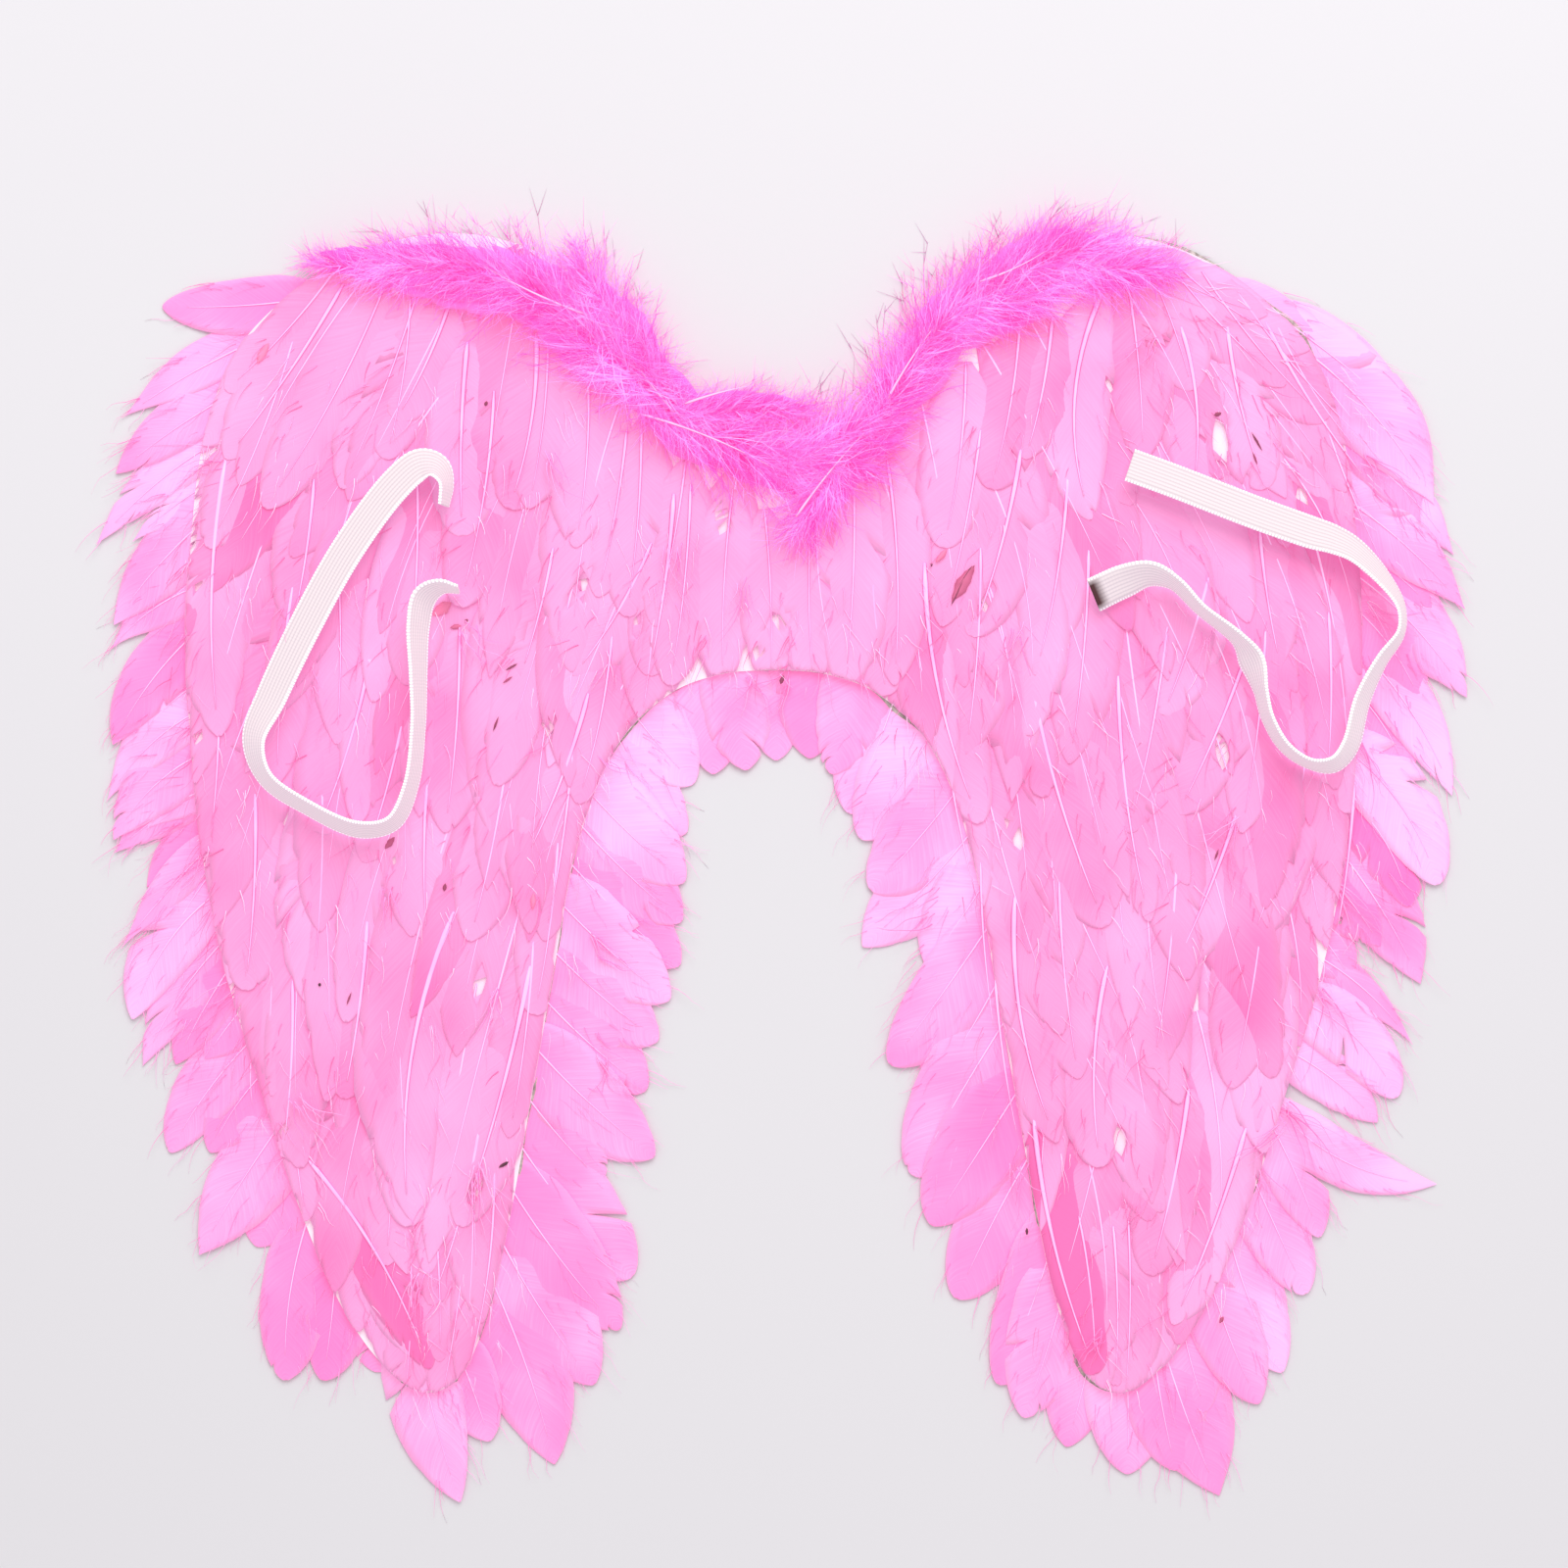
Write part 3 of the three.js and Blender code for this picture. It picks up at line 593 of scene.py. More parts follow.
def makeWire(material):
    # A flattened round section carried along the edge, a little uneven where the tape is creased
    mirrored = halfEdge[1:-1][::-1] * np.array([-1, 1])
    loop, run = evenly(np.vstack([halfEdge, mirrored, halfEdge[:1]]), sheet["wireSteps"] + 1)
    loop, run = loop[:-1], run[:-1]
    ahead = np.roll(loop, -1, 0) - np.roll(loop, 1, 0)
    ahead = ahead / np.linalg.norm(ahead, axis=1)[:, None]
    outward = np.stack([-ahead[:, 1], ahead[:, 0]], -1)
    sides = 8
    turn = np.linspace(0, 2 * math.pi, sides, endpoint=False)[None, :]
    crease = 1 + 0.10 * smoothNoise(run[:, None] * 90, turn, 3, 1.0)
    slips = asTable(slipNames, slipTable)
    slipX, slipY = fromPhoto(slips["column"], slips["row"])
    away = np.hypot(middleX + loop[:, :1] - slipX, loop[:, 1:] - slipY) / (slips["along"] * pixel)
    slip = (slips["out"] / 1000 * np.exp(-away ** 2)).sum(1)[:, None]
    middle = loop + outward * (slip - sheet["wireInset"])
    out = np.cos(turn) * sheet["wireWidth"] / 2 * crease
    z = sheet["wireMiddle"] + np.sin(turn) * sheet["wireHeight"] / 2 * crease
    points = np.stack([
        middleX + middle[:, None, 0] + outward[:, None, 0] * out,
        middle[:, None, 1] + outward[:, None, 1] * out, z], -1)
    steps = len(loop)
    quads = gridFaces(1, steps + 1, sides, True, True).reshape(-1, 4) % (steps * sides)
    uv = np.stack(np.broadcast_arrays(run[:, None] * 2.2, turn * 0.0015), -1)
    piece = addPiece("taped_wire", points, [quads], material, uv=uv)
    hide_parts("edge_wire")
    print("taped wire")


# feather layout

common = {
    "bow": 0.0, "lift": 0.0034, "rise": 0.0155, "arch": 0.0, "curl": 0.0, "roll": 0.05,
    "twist": 0.0, "camber": 0.05, "wavy": 1.0, "floor": 0.0031, "pointed": 0.55, "lopsided": 0.0,
    "ragged": 0.15, "splits": 1.0, "tone": 0.5,
}


def completed(feathers, **changes):
    # a feather table with every column, the missing ones at their common value
    count = len(feathers["baseX"])
    full = {name: np.full(count, float(value)) for name, value in common.items()}
    given = {**feathers, **changes}
    full.update({name: np.array(value, float) * np.ones(count) for name, value in given.items()})
    return full


def joined(tables):
    # several feather tables as one
    return {name: np.concatenate([table[name] for table in tables]) for name in tables[0]}


fill = {
    "length": 0.135,
    "width": 0.036,
    "pitch": 0.0300,
    "overhang": -0.003,          # how far past the sheet's edge a tip may reach, below 0 is past it
    "archOverhang": -0.012,      # and over the arch between the wings
    "archHalf": 0.11,
    "rootScatter": 0.22,         # scatter of the roots, as a share of the pitch
    "upScatter": 0.030,          # and as a share of the sheet's height
    "leanScatter": 7,            # degrees
    "lengthRange": (0.84, 1.16),
    "widthRange": (0.80, 1.12),
    "shorten": 0.94,
    "seed": 4,
}
# rows on each wing from the shoulder down: inner and outer ends and the outer end's drop, as
# shares, the leans in degrees outward from straight down, and the share of the feather's length
rowTable = asTable(["up", "inner", "outer", "drop", "leanInner", "leanOuter", "length"], [
    (0.975, 0.34, 0.80, 0.020, 16, 46, 0.80),
    (0.915, 0.26, 0.90, 0.030, 14, 40, 0.92),
    (0.850, 0.18, 0.94, 0.020, 10, 32, 0.98),
    (0.785, -0.02, 0.95, 0.012, 2, 24, 1.00),
    (0.735, 0.02, 0.96, 0.008, 4, 18, 1.06),
    (0.660, 0.14, 0.95, 0.006, 8, 15, 1.06),
    (0.585, 0.28, 0.94, 0.004, 12, 12, 1.06),
    (0.510, 0.33, 0.93, 0.006, 14, 8, 1.06),
    (0.435, 0.36, 0.91, 0.008, 12, 6, 1.04),
    (0.360, 0.39, 0.87, 0.010, 12, 0, 1.04),
    (0.290, 0.42, 0.83, 0.014, 9, -10, 0.96),
    (0.220, 0.45, 0.78, 0.016, 6, -18, 0.86),
    (0.155, 0.48, 0.73, 0.018, 4, -24, 0.66),
])


wholeEdge = np.vstack([halfEdge, (halfEdge[1:-1] * np.array([-1, 1]))[::-1]])
wholeEdge = wholeEdge + np.array([middleX, 0])


def trimToSheet(points, quads, keep):
    # Cuts the vanes flush with the sheet: a point past its edge moves to the nearest place on the
    # edge, and a face whose middle lies past the edge is left out
    flat = points.reshape(-1, 3)
    spots = np.flatnonzero(~insideEdge(flat[:, 0], flat[:, 1]))
    middleOfFace = flat[quads].mean(-2)
    keep = keep & insideEdge(middleOfFace[..., 0], middleOfFace[..., 1])
    used = np.zeros(len(flat), bool)
    used[quads[keep]] = True
    spots = spots[used[spots]]
    for block in np.array_split(spots, max(1, len(spots) // 2000)):
        away = np.hypot(flat[block, 0:1] - wholeEdge[:, 0], flat[block, 1:2] - wholeEdge[:, 1])
        flat[block, :2] = wholeEdge[away.argmin(1)]
    return flat.reshape(points.shape), keep


def insideEdge(x, y, margin=0.0):
    # whether places lie inside the sheet, by its lower and upper edge at their x
    across = np.abs(x - middleX)
    top, low = edgeAt(across)
    return (across < widest - margin) & (y < top - margin) & (y > low + margin)


def fillRows(side):
    # Rows of overlapped feathers: each row's roots stand an equal pitch apart between its inner
    # and outer end, and the leans go evenly from one end's to the other's. A feather that would
    # end past the sheet's edge is shortened to it.
    rng = np.random.default_rng(fill["seed"] + (side > 0))
    tables = []
    for row in range(len(rowTable["up"])):
        get = {name: values[row] for name, values in rowTable.items()}
        spread = (get["outer"] - get["inner"]) * halfWidth
        count = max(2, int(round(spread / fill["pitch"])))
        scatter = rng.uniform(-fill["rootScatter"], fill["rootScatter"], count)
        part = (np.arange(count) + 0.5 + scatter) / count
        if row % 2:
            part = np.clip(part + 0.25 / count, 0, 1)
        lean = np.radians(get["leanInner"] + (get["leanOuter"] - get["leanInner"]) * part
                          + rng.normal(0, fill["leanScatter"], count))
        baseX = middleX + side * (get["inner"] + (get["outer"] - get["inner"]) * part) * halfWidth
        baseUp = get["up"] - get["drop"] * part ** 2
        baseUp = baseUp + rng.uniform(-fill["upScatter"], fill["upScatter"], count)
        baseY = footY + baseUp * sheetHeight
        length = fill["length"] * get["length"] * rng.uniform(*fill["lengthRange"], count)
        dirX, dirY = side * np.sin(lean), -np.cos(lean)
        overArch = np.abs(baseX - middleX) < fill["archHalf"]
        over = np.where(overArch, fill["archOverhang"], fill["overhang"])
        for _ in range(14):
            out = ~insideEdge(baseX + dirX * length, baseY + dirY * length, over)
            length = np.where(out, length * fill["shorten"], length)
        tables.append(completed(
            {"baseX": baseX, "baseY": baseY, "tipX": baseX + dirX * length, "tipY": baseY + dirY * length},
            width=fill["width"] * rng.uniform(*fill["widthRange"], count) * np.clip(length / 0.11, 0.55, 1),
            bow=side * rng.normal(0.02, 0.035, count),
            roll=side * rng.uniform(0.01, 0.06, count),
            twist=rng.normal(0, 0.03, count),
            lopsided=rng.normal(0, 0.8, count),
            ragged=rng.uniform(0.1, 0.9, count) ** 1.5,
            splits=rng.integers(0, 3, count),
            pointed=rng.uniform(0.50, 1.00, count),
            lift=0.0034 + rng.uniform(0, 0.0004, count),
            floor=0.0030 + rng.uniform(0, 0.0004, count),
            tone=np.clip(rng.normal(0.5, 0.15, count), 0.0, 1)))
    return joined(tables)


# feathers whose shafts show on the photo, in its pixels: root, tip, bow, width in millimetres
# and tone, and the shaft's own share of thickness
heroNames = ["rootColumn", "rootRow", "tipColumn", "tipRow", "bow", "width", "tone", "shaft"]
leftHeroes = asTable(heroNames, [
    (505, 1180, 474, 1414, 0.04, 30, 0.45, 0.6),
    (478, 1235, 448, 1442, 0.02, 28, 0.5, 0.5),
    (420, 1270, 414, 1430, 0.02, 26, 0.5, 0.5),
    (352, 291, 232, 470, 0.02, 34, 0.62, 0.8),
    (460, 310, 405, 430, 0.03, 34, 0.55, 0.8),
    (478, 350, 473, 548, -0.02, 34, 0.66, 1.0),
    (232, 470, 226, 752, -0.04, 34, 0.62, 1.0),
    (322, 490, 300, 640, 0.02, 30, 0.50, 0.8),
    (427, 490, 416, 700, 0.02, 32, 0.45, 0.6),
    (548, 341, 520, 520, 0.05, 34, 0.40, 1.0),
    (688, 505, 662, 690, 0.02, 32, 0.60, 1.0),
    (565, 560, 532, 690, 0.02, 30, 0.5, 0.7),
    (665, 555, 585, 690, 0.04, 30, 0.7, 0.8),
    (601, 708, 535, 880, 0.03, 34, 0.60, 1.0),
    (381, 660, 325, 850, 0.03, 36, 0.50, 1.0),
    (411, 740, 372, 880, 0.02, 30, 0.45, 0.7),
    (262, 810, 252, 1010, 0.02, 34, 0.55, 0.9),
    (437, 800, 437, 960, -0.02, 32, 0.6, 0.8),
    (376, 940, 352, 1120, 0.02, 34, 0.42, 1.0),
    (464, 930, 420, 1250, -0.07, 34, 0.62, 1.2),
    (542, 985, 470, 1250, 0.02, 34, 0.66, 1.1),
    (314, 1180, 440, 1395, 0.05, 30, 0.0, 1.0),
    (300, 1000, 290, 1180, 0.02, 34, 0.5, 0.8),
    (225, 700, 215, 870, 0.02, 30, 0.45, 0.7),
    (490, 1150, 440, 1330, 0.03, 32, 0.30, 0.8),
    (345, 275, 232, 400, 0.03, 30, 0.60, 0.5),
    (395, 290, 272, 520, 0.03, 34, 0.55, 0.5),
    (300, 350, 214, 560, 0.03, 32, 0.50, 0.5),
    (430, 290, 350, 500, 0.02, 34, 0.62, 0.5),
    (640, 440, 610, 610, 0.02, 32, 0.55, 0.6),
    (705, 495, 684, 700, 0.02, 30, 0.60, 0.6),
    (748, 500, 738, 700, -0.02, 32, 0.70, 0.5),
    (780, 520, 786, 700, 0.02, 30, 0.66, 0.5),
    (600, 370, 588, 560, 0.03, 34, 0.58, 0.6),
    (560, 330, 540, 520, 0.03, 34, 0.50, 0.6),
    (655, 430, 640, 630, 0.02, 32, 0.55, 0.6),
    (700, 470, 668, 640, 0.02, 30, 0.60, 0.5),
    (420, 300, 395, 470, 0.03, 30, 0.50, 0.5),
    (505, 400, 470, 620, 0.03, 32, 0.35, 0.7),
    (300, 600, 285, 800, -0.02, 34, 0.45, 0.7),
    (345, 560, 345, 760, 0.02, 32, 0.55, 0.6),
    (470, 640, 455, 850, 0.02, 34, 0.45, 0.7),
    (520, 760, 480, 960, 0.02, 34, 0.52, 0.7),
    (330, 800, 320, 1010, 0.02, 34, 0.50, 0.6),
    (400, 1080, 395, 1290, 0.02, 32, 0.45, 0.7),
    (585, 760, 556, 960, 0.02, 30, 0.52, 0.7),
    (440, 1195, 450, 1388, 0.02, 30, 0.40, 0.7),
    (482, 1190, 478, 1350, 0.02, 26, 0.50, 0.6),
    (298, 1085, 314, 1245, -0.02, 26, 0.50, 0.6),
    (570, 860, 546, 1035, 0.02, 28, 0.60, 0.6),
    (545, 960, 520, 1160, 0.02, 30, 0.50, 0.6),
    (668, 600, 655, 735, 0.02, 30, 0.60, 0.5),
    (625, 650, 590, 820, 0.03, 32, 0.50, 0.6),
])
rightHeroes = asTable(heroNames, [
    (1100, 1240, 1116, 1428, 0.03, 28, 0.45, 0.5),
    (1150, 1240, 1146, 1434, 0.02, 28, 0.5, 0.5),
    (1073, 325, 1045, 470, 0.03, 32, 0.45, 0.8),
    (1126, 295, 1112, 532, -0.10, 34, 0.85, 1.1),
    (1204, 335, 1216, 500, 0.06, 34, 0.60, 1.0),
    (1251, 335, 1290, 500, -0.03, 32, 0.7, 0.9),
    (1290, 330, 1400, 500, -0.03, 34, 0.55, 0.9),
    (1041, 460, 990, 650, 0.03, 32, 0.55, 1.0),
    (1089, 481, 1055, 690, 0.03, 34, 0.65, 0.8),
    (943, 575, 1000, 840, -0.05, 34, 0.60, 1.1),
    (1053, 700, 1128, 945, -0.03, 36, 0.48, 1.0),
    (1140, 690, 1172, 940, -0.03, 32, 0.50, 0.9),
    (1232, 590, 1185, 730, 0.02, 30, 0.7, 0.8),
    (1268, 675, 1200, 830, 0.02, 30, 0.45, 0.8),
    (1262, 825, 1195, 990, 0.02, 34, 0.6, 0.9),
    (1035, 915, 1078, 1165, -0.06, 34, 0.48, 1.1),
    (1129, 985, 1122, 1190, -0.05, 34, 0.5, 1.0),
    (1054, 1138, 1118, 1400, -0.04, 46, -0.25, 1.1),
    (1270, 1150, 1195, 1350, 0.02, 32, 0.72, 1.0),
    (1284, 540, 1305, 680, -0.02, 30, 0.55, 0.8),
    (1354, 625, 1352, 800, 0.02, 32, 0.55, 0.8),
    (1212, 1110, 1172, 1300, 0.02, 32, 0.45, 1.0),
    (1330, 780, 1275, 960, 0.02, 30, 0.5, 0.8),
    (1380, 800, 1360, 960, 0.02, 30, 0.6, 0.8),
    (1165, 262, 1215, 400, 0.03, 30, 0.60, 0.5),
    (1185, 262, 1310, 395, -0.03, 30, 0.42, 0.5),
    (1225, 278, 1352, 430, -0.03, 32, 0.46, 0.5),
    (1262, 300, 1410, 470, -0.03, 32, 0.56, 0.5),
    (1340, 400, 1420, 600, -0.02, 32, 0.60, 0.6),
    (1150, 290, 1165, 470, 0.02, 32, 0.50, 0.6),
    (870, 470, 862, 700, 0.02, 34, 0.72, 0.6),
    (905, 470, 912, 700, 0.03, 32, 0.60, 0.7),
    (828, 520, 830, 700, -0.02, 34, 0.70, 0.5),
    (1000, 440, 960, 640, 0.02, 32, 0.50, 0.6),
    (985, 370, 962, 560, 0.03, 34, 0.58, 0.6),
    (1040, 330, 1010, 500, 0.03, 34, 0.30, 0.6),
    (1150, 256, 1292, 322, -0.05, 26, 0.45, 0.4),
    (1196, 268, 1336, 356, -0.06, 28, 0.62, 0.4),
    (1120, 262, 1240, 320, -0.03, 26, 0.55, 0.4),
    (1300, 330, 1392, 470, -0.04, 32, 0.60, 0.5),
    (1000, 560, 985, 770, 0.02, 34, 0.55, 0.7),
    (1110, 560, 1090, 780, 0.02, 34, 0.50, 0.7),
    (1190, 640, 1150, 850, 0.02, 32, 0.45, 0.6),
    (1290, 640, 1265, 850, 0.02, 32, 0.55, 0.6),
    (1200, 860, 1175, 1090, 0.02, 34, 0.48, 0.8),
    (1290, 900, 1255, 1110, 0.02, 34, 0.58, 0.6),
    (1080, 900, 1100, 1100, -0.02, 32, 0.52, 0.7),
    (890, 590, 905, 710, -0.02, 30, 0.62, 0.5),
    (1000, 880, 1016, 1065, -0.02, 28, 0.55, 0.6),
    (1015, 1000, 1040, 1170, -0.02, 28, 0.50, 0.6),
    (965, 760, 1000, 930, -0.02, 30, 0.58, 0.6),
    (1135, 1250, 1137, 1412, 0.02, 30, 0.35, 0.6),
])


hero = {"lift": 0.0044, "rise": 0.0135, "floor": 0.0036}


def heroFeathers(table, side, seed):
    # the feathers of the table, above the rows, with heights as the rows have them
    rng = np.random.default_rng(seed)
    baseX, baseY = fromPhoto(table["rootColumn"], table["rootRow"])
    tipX, tipY = fromPhoto(table["tipColumn"], table["tipRow"])
    count = len(baseX)
    feathers = completed(
        {"baseX": baseX, "baseY": baseY, "tipX": tipX, "tipY": tipY}, bow=table["bow"],
        width=table["width"] / 1000, tone=table["tone"], lift=hero["lift"],
        roll=side * rng.uniform(-0.01, 0.04, count), lopsided=rng.normal(0, 0.5, count),
        ragged=rng.uniform(0.05, 0.45, count), splits=rng.integers(0, 3, count),
        pointed=rng.uniform(0.45, 0.80, count), rise=hero["rise"],
        floor=hero["floor"] + rng.uniform(0, 0.0004, count))
    feathers["shaft"] = table["shaft"]
    return feathers


# rim feathers in photo pixels: root, tip, bow, width in millimetres, how pointed, how ragged,
# and tone from deep to pale
rimNames = ["rootColumn", "rootRow", "tipColumn", "tipRow", "bow", "width", "pointed", "ragged", "tone"]
leftRim = asTable(rimNames, [
    (345, 300, 166, 313, 0.03, 30, 0.55, 0.15, 0.50),
    (285, 338, 125, 427, -0.03, 24, 1.4, 0.2, 0.55),
    (270, 385, 119, 484, -0.03, 28, 0.8, 0.2, 0.45),
    (262, 430, 99, 556, -0.06, 24, 1.1, 0.5, 0.85),
    (262, 470, 136, 553, -0.05, 22, 1.3, 0.5, 0.80),
    (250, 500, 117, 638, -0.05, 34, 0.9, 0.2, 0.60),
    (245, 560, 150, 640, -0.05, 30, 0.8, 0.3, 0.30),
    (235, 590, 110, 668, -0.10, 24, 1.9, 0.4, 0.55),
    (225, 625, 116, 760, -0.06, 32, 0.8, 0.3, 0.30),
    (235, 680, 135, 765, -0.08, 34, 0.8, 0.3, 0.50),
    (240, 710, 109, 819, -0.10, 28, 1.4, 0.2, 0.62),
    (245, 755, 117, 857, -0.11, 34, 0.9, 0.6, 0.50),
    (235, 790, 118, 870, -0.04, 26, 1.1, 0.5, 0.50),
    (240, 800, 150, 846, -0.10, 20, 1.2, 0.4, 0.60),
    (238, 840, 124, 968, -0.02, 20, 1.6, 0.2, 0.62),
    (245, 830, 150, 905, -0.04, 26, 0.9, 0.2, 0.45),
    (250, 850, 165, 975, -0.04, 34, 0.8, 0.2, 0.55),
    (245, 895, 136, 1040, -0.10, 34, 0.7, 0.2, 0.70),
    (255, 935, 146, 1088, -0.06, 28, 1.0, 0.3, 0.60),
    (262, 950, 180, 1086, -0.03, 28, 0.7, 0.2, 0.40),
    (275, 1000, 210, 1080, -0.03, 30, 0.8, 0.2, 0.45),
    (285, 1035, 174, 1176, -0.05, 34, 0.6, 0.2, 0.60),
    (295, 1070, 215, 1176, -0.06, 32, 0.6, 0.2, 0.40),
    (308, 1118, 204, 1280, -0.02, 42, 0.9, 0.3, 0.62),
    (320, 1160, 262, 1272, -0.02, 34, 0.6, 0.2, 0.50),
    (320, 1228, 292, 1408, -0.05, 30, 0.5, 0.3, 0.55),
    (345, 1250, 330, 1408, 0.02, 28, 0.5, 0.3, 0.40),
    (385, 1300, 385, 1400, 0.02, 28, 0.5, 0.3, 0.50),
    (422, 1325, 470, 1532, -0.03, 32, 0.75, 0.2, 0.60),
    (455, 1350, 500, 1470, 0.02, 28, 0.6, 0.3, 0.45),
    (494, 1290, 566, 1494, 0.03, 38, 0.75, 0.2, 0.55),
    (492, 1225, 607, 1412, -0.03, 40, 0.6, 0.2, 0.65),
    (500, 1175, 633, 1356, -0.03, 36, 0.6, 0.2, 0.45),
    (508, 1130, 646, 1302, -0.04, 40, 0.5, 0.2, 0.55),
    (515, 1085, 615, 1205, -0.03, 34, 0.5, 0.2, 0.50),
    (522, 1040, 668, 1180, -0.03, 36, 0.6, 0.3, 0.60),
    (530, 990, 660, 1112, -0.03, 36, 0.55, 0.4, 0.55),
    (538, 940, 672, 1062, -0.03, 36, 0.6, 0.4, 0.65),
    (545, 890, 684, 1020, -0.03, 36, 0.6, 0.4, 0.70),
    (552, 845, 694, 985, -0.03, 36, 0.6, 0.4, 0.60),
    (558, 800, 696, 940, -0.03, 36, 0.6, 0.4, 0.72),
    (566, 765, 699, 900, -0.03, 36, 0.6, 0.4, 0.75),
    (578, 725, 701, 850, -0.03, 36, 0.6, 0.4, 0.65),
    (612, 680, 708, 800, -0.02, 34, 0.55, 0.4, 0.80),
])
rightRim = asTable(rimNames, [
    (925, 672, 866, 830, 0.02, 34, 0.55, 0.3, 0.70),
    (972, 705, 878, 856, 0.03, 36, 0.55, 0.3, 0.75),
    (1006, 762, 888, 908, 0.03, 38, 0.5, 0.3, 0.60),
    (1016, 815, 880, 966, 0.03, 36, 0.7, 0.4, 0.70),
    (1022, 870, 945, 985, 0.02, 34, 0.6, 0.3, 0.62),
    (1028, 915, 908, 1086, 0.01, 34, 0.5, 0.15, 0.60),
    (1036, 965, 948, 1116, 0.02, 34, 0.5, 0.15, 0.50),
    (1042, 1015, 932, 1200, -0.01, 38, 0.5, 0.15, 0.55),
    (1056, 1085, 950, 1250, 0.00, 38, 0.55, 0.2, 0.40),
    (1068, 1150, 976, 1325, -0.02, 36, 0.5, 0.15, 0.50),
    (1088, 1210, 1018, 1412, 0.03, 36, 0.55, 0.15, 0.45),
    (1098, 1262, 1044, 1446, 0.02, 36, 0.6, 0.2, 0.60),
    (1125, 1310, 1088, 1476, 0.02, 32, 0.6, 0.2, 0.50),
    (1145, 1350, 1150, 1504, 0.02, 36, 0.6, 0.2, 0.65),
    (1175, 1360, 1200, 1500, -0.02, 34, 0.6, 0.2, 0.50),
    (1180, 1350, 1244, 1526, -0.02, 40, 0.9, 0.2, 0.55),
    (1200, 1320, 1230, 1440, -0.02, 32, 0.6, 0.3, 0.60),
    (1225, 1270, 1284, 1432, -0.03, 30, 0.6, 0.3, 0.50),
    (1245, 1220, 1308, 1400, -0.04, 30, 0.6, 0.3, 0.70),
    (1255, 1150, 1332, 1320, 0.00, 36, 0.5, 0.3, 0.80),
    (1275, 1110, 1346, 1262, 0.03, 32, 0.6, 0.2, 0.70),
    (1290, 1114, 1466, 1208, -0.12, 28, 0.9, 0.2, 0.88),
    (1290, 1060, 1405, 1145, 0.06, 28, 0.7, 0.4, 0.75),
    (1300, 1012, 1424, 1120, 0.12, 34, 0.5, 0.2, 0.85),
    (1300, 955, 1441, 1066, 0.08, 18, 1.3, 0.3, 0.60),
    (1325, 930, 1378, 1000, 0.04, 30, 0.7, 0.3, 0.45),
    (1340, 880, 1408, 965, 0.04, 30, 0.8, 0.4, 0.35),
    (1345, 842, 1449, 1004, 0.04, 40, 0.9, 0.5, 0.60),
    (1358, 800, 1437, 925, 0.10, 34, 0.6, 0.5, 0.15),
    (1345, 745, 1466, 903, 0.10, 38, 0.5, 0.3, 0.95),
    (1368, 690, 1436, 790, 0.06, 32, 0.6, 0.2, 0.45),
    (1362, 640, 1481, 812, 0.07, 30, 0.9, 0.2, 0.85),
    (1355, 600, 1450, 720, 0.08, 34, 0.7, 0.2, 0.50),
    (1340, 560, 1496, 712, 0.07, 40, 0.9, 0.5, 0.72),
    (1350, 540, 1460, 620, 0.05, 30, 0.8, 0.3, 0.40),
    (1340, 490, 1494, 622, 0.05, 32, 1.1, 0.3, 0.60),
    (1345, 440, 1483, 567, 0.08, 30, 1.1, 0.3, 0.82),
    (1335, 400, 1450, 540, 0.10, 34, 0.8, 0.2, 0.45),
    (1320, 350, 1463, 516, 0.06, 44, 1.1, 0.3, 0.70),
    (1280, 308, 1448, 444, 0.03, 36, 0.9, 0.4, 0.85),
    (1232, 290, 1345, 342, 0.03, 22, 0.9, 0.2, 0.62),
])
archRim = asTable(rimNames, [
    (655, 668, 708, 786, 0.0, 30, 0.6, 0.5, 0.60),
    (704, 652, 728, 790, 0.02, 30, 0.6, 0.6, 0.65),
    (746, 648, 762, 786, -0.02, 30, 0.6, 0.6, 0.60),
    (788, 646, 792, 776, 0.02, 28, 0.6, 0.5, 0.55),
    (832, 648, 826, 774, 0.02, 30, 0.6, 0.5, 0.40),
    (876, 654, 848, 790, 0.03, 30, 0.6, 0.6, 0.50),
    (915, 664, 862, 800, 0.03, 30, 0.6, 0.6, 0.60),
])


rim = {
    "layerStep": 0.00034,       # neighbours lie on one another, in three layers
    "lift": 0.00050,
    "arch": 0.012,
    "outerFrom": 0.9,           # feathers past this share of the sheet's half width are slimmer
    "outerWidth": 0.86,
    "innerWidth": 1.06,
}


def rimFeathers(table, side, seed):
    # the rim feathers of the table: their roots lie under the sheet and their far halves arch up
    rng = np.random.default_rng(seed)
    baseX, baseY = fromPhoto(table["rootColumn"], table["rootRow"])
    tipX, tipY = fromPhoto(table["tipColumn"], table["tipRow"])
    count = len(baseX)
    layer = rim["layerStep"] * (np.arange(count) % 3)
    outer = np.abs(tipX - middleX) > rim["outerFrom"] * halfWidth
    slim = np.where(outer, rim["outerWidth"], rim["innerWidth"])
    return completed(
        {"baseX": baseX, "baseY": baseY, "tipX": tipX, "tipY": tipY},
        bow=table["bow"], width=table["width"] * slim / 1000, pointed=table["pointed"] * 1.15,
        ragged=table["ragged"] * 0.5, curl=0.02 * table["ragged"] + 0.008, lift=rim["lift"] + layer,
        rise=0.0, arch=rim["arch"], floor=rim["layerStep"] + layer,
        splits=np.clip(table["ragged"] * 3, 0, 3), roll=-side * 0.02,
        tone=np.clip(table["tone"] + rng.normal(0, 0.05, count), 0, 1),
        lopsided=rng.normal(0, 0.6, count), camber=0.02)


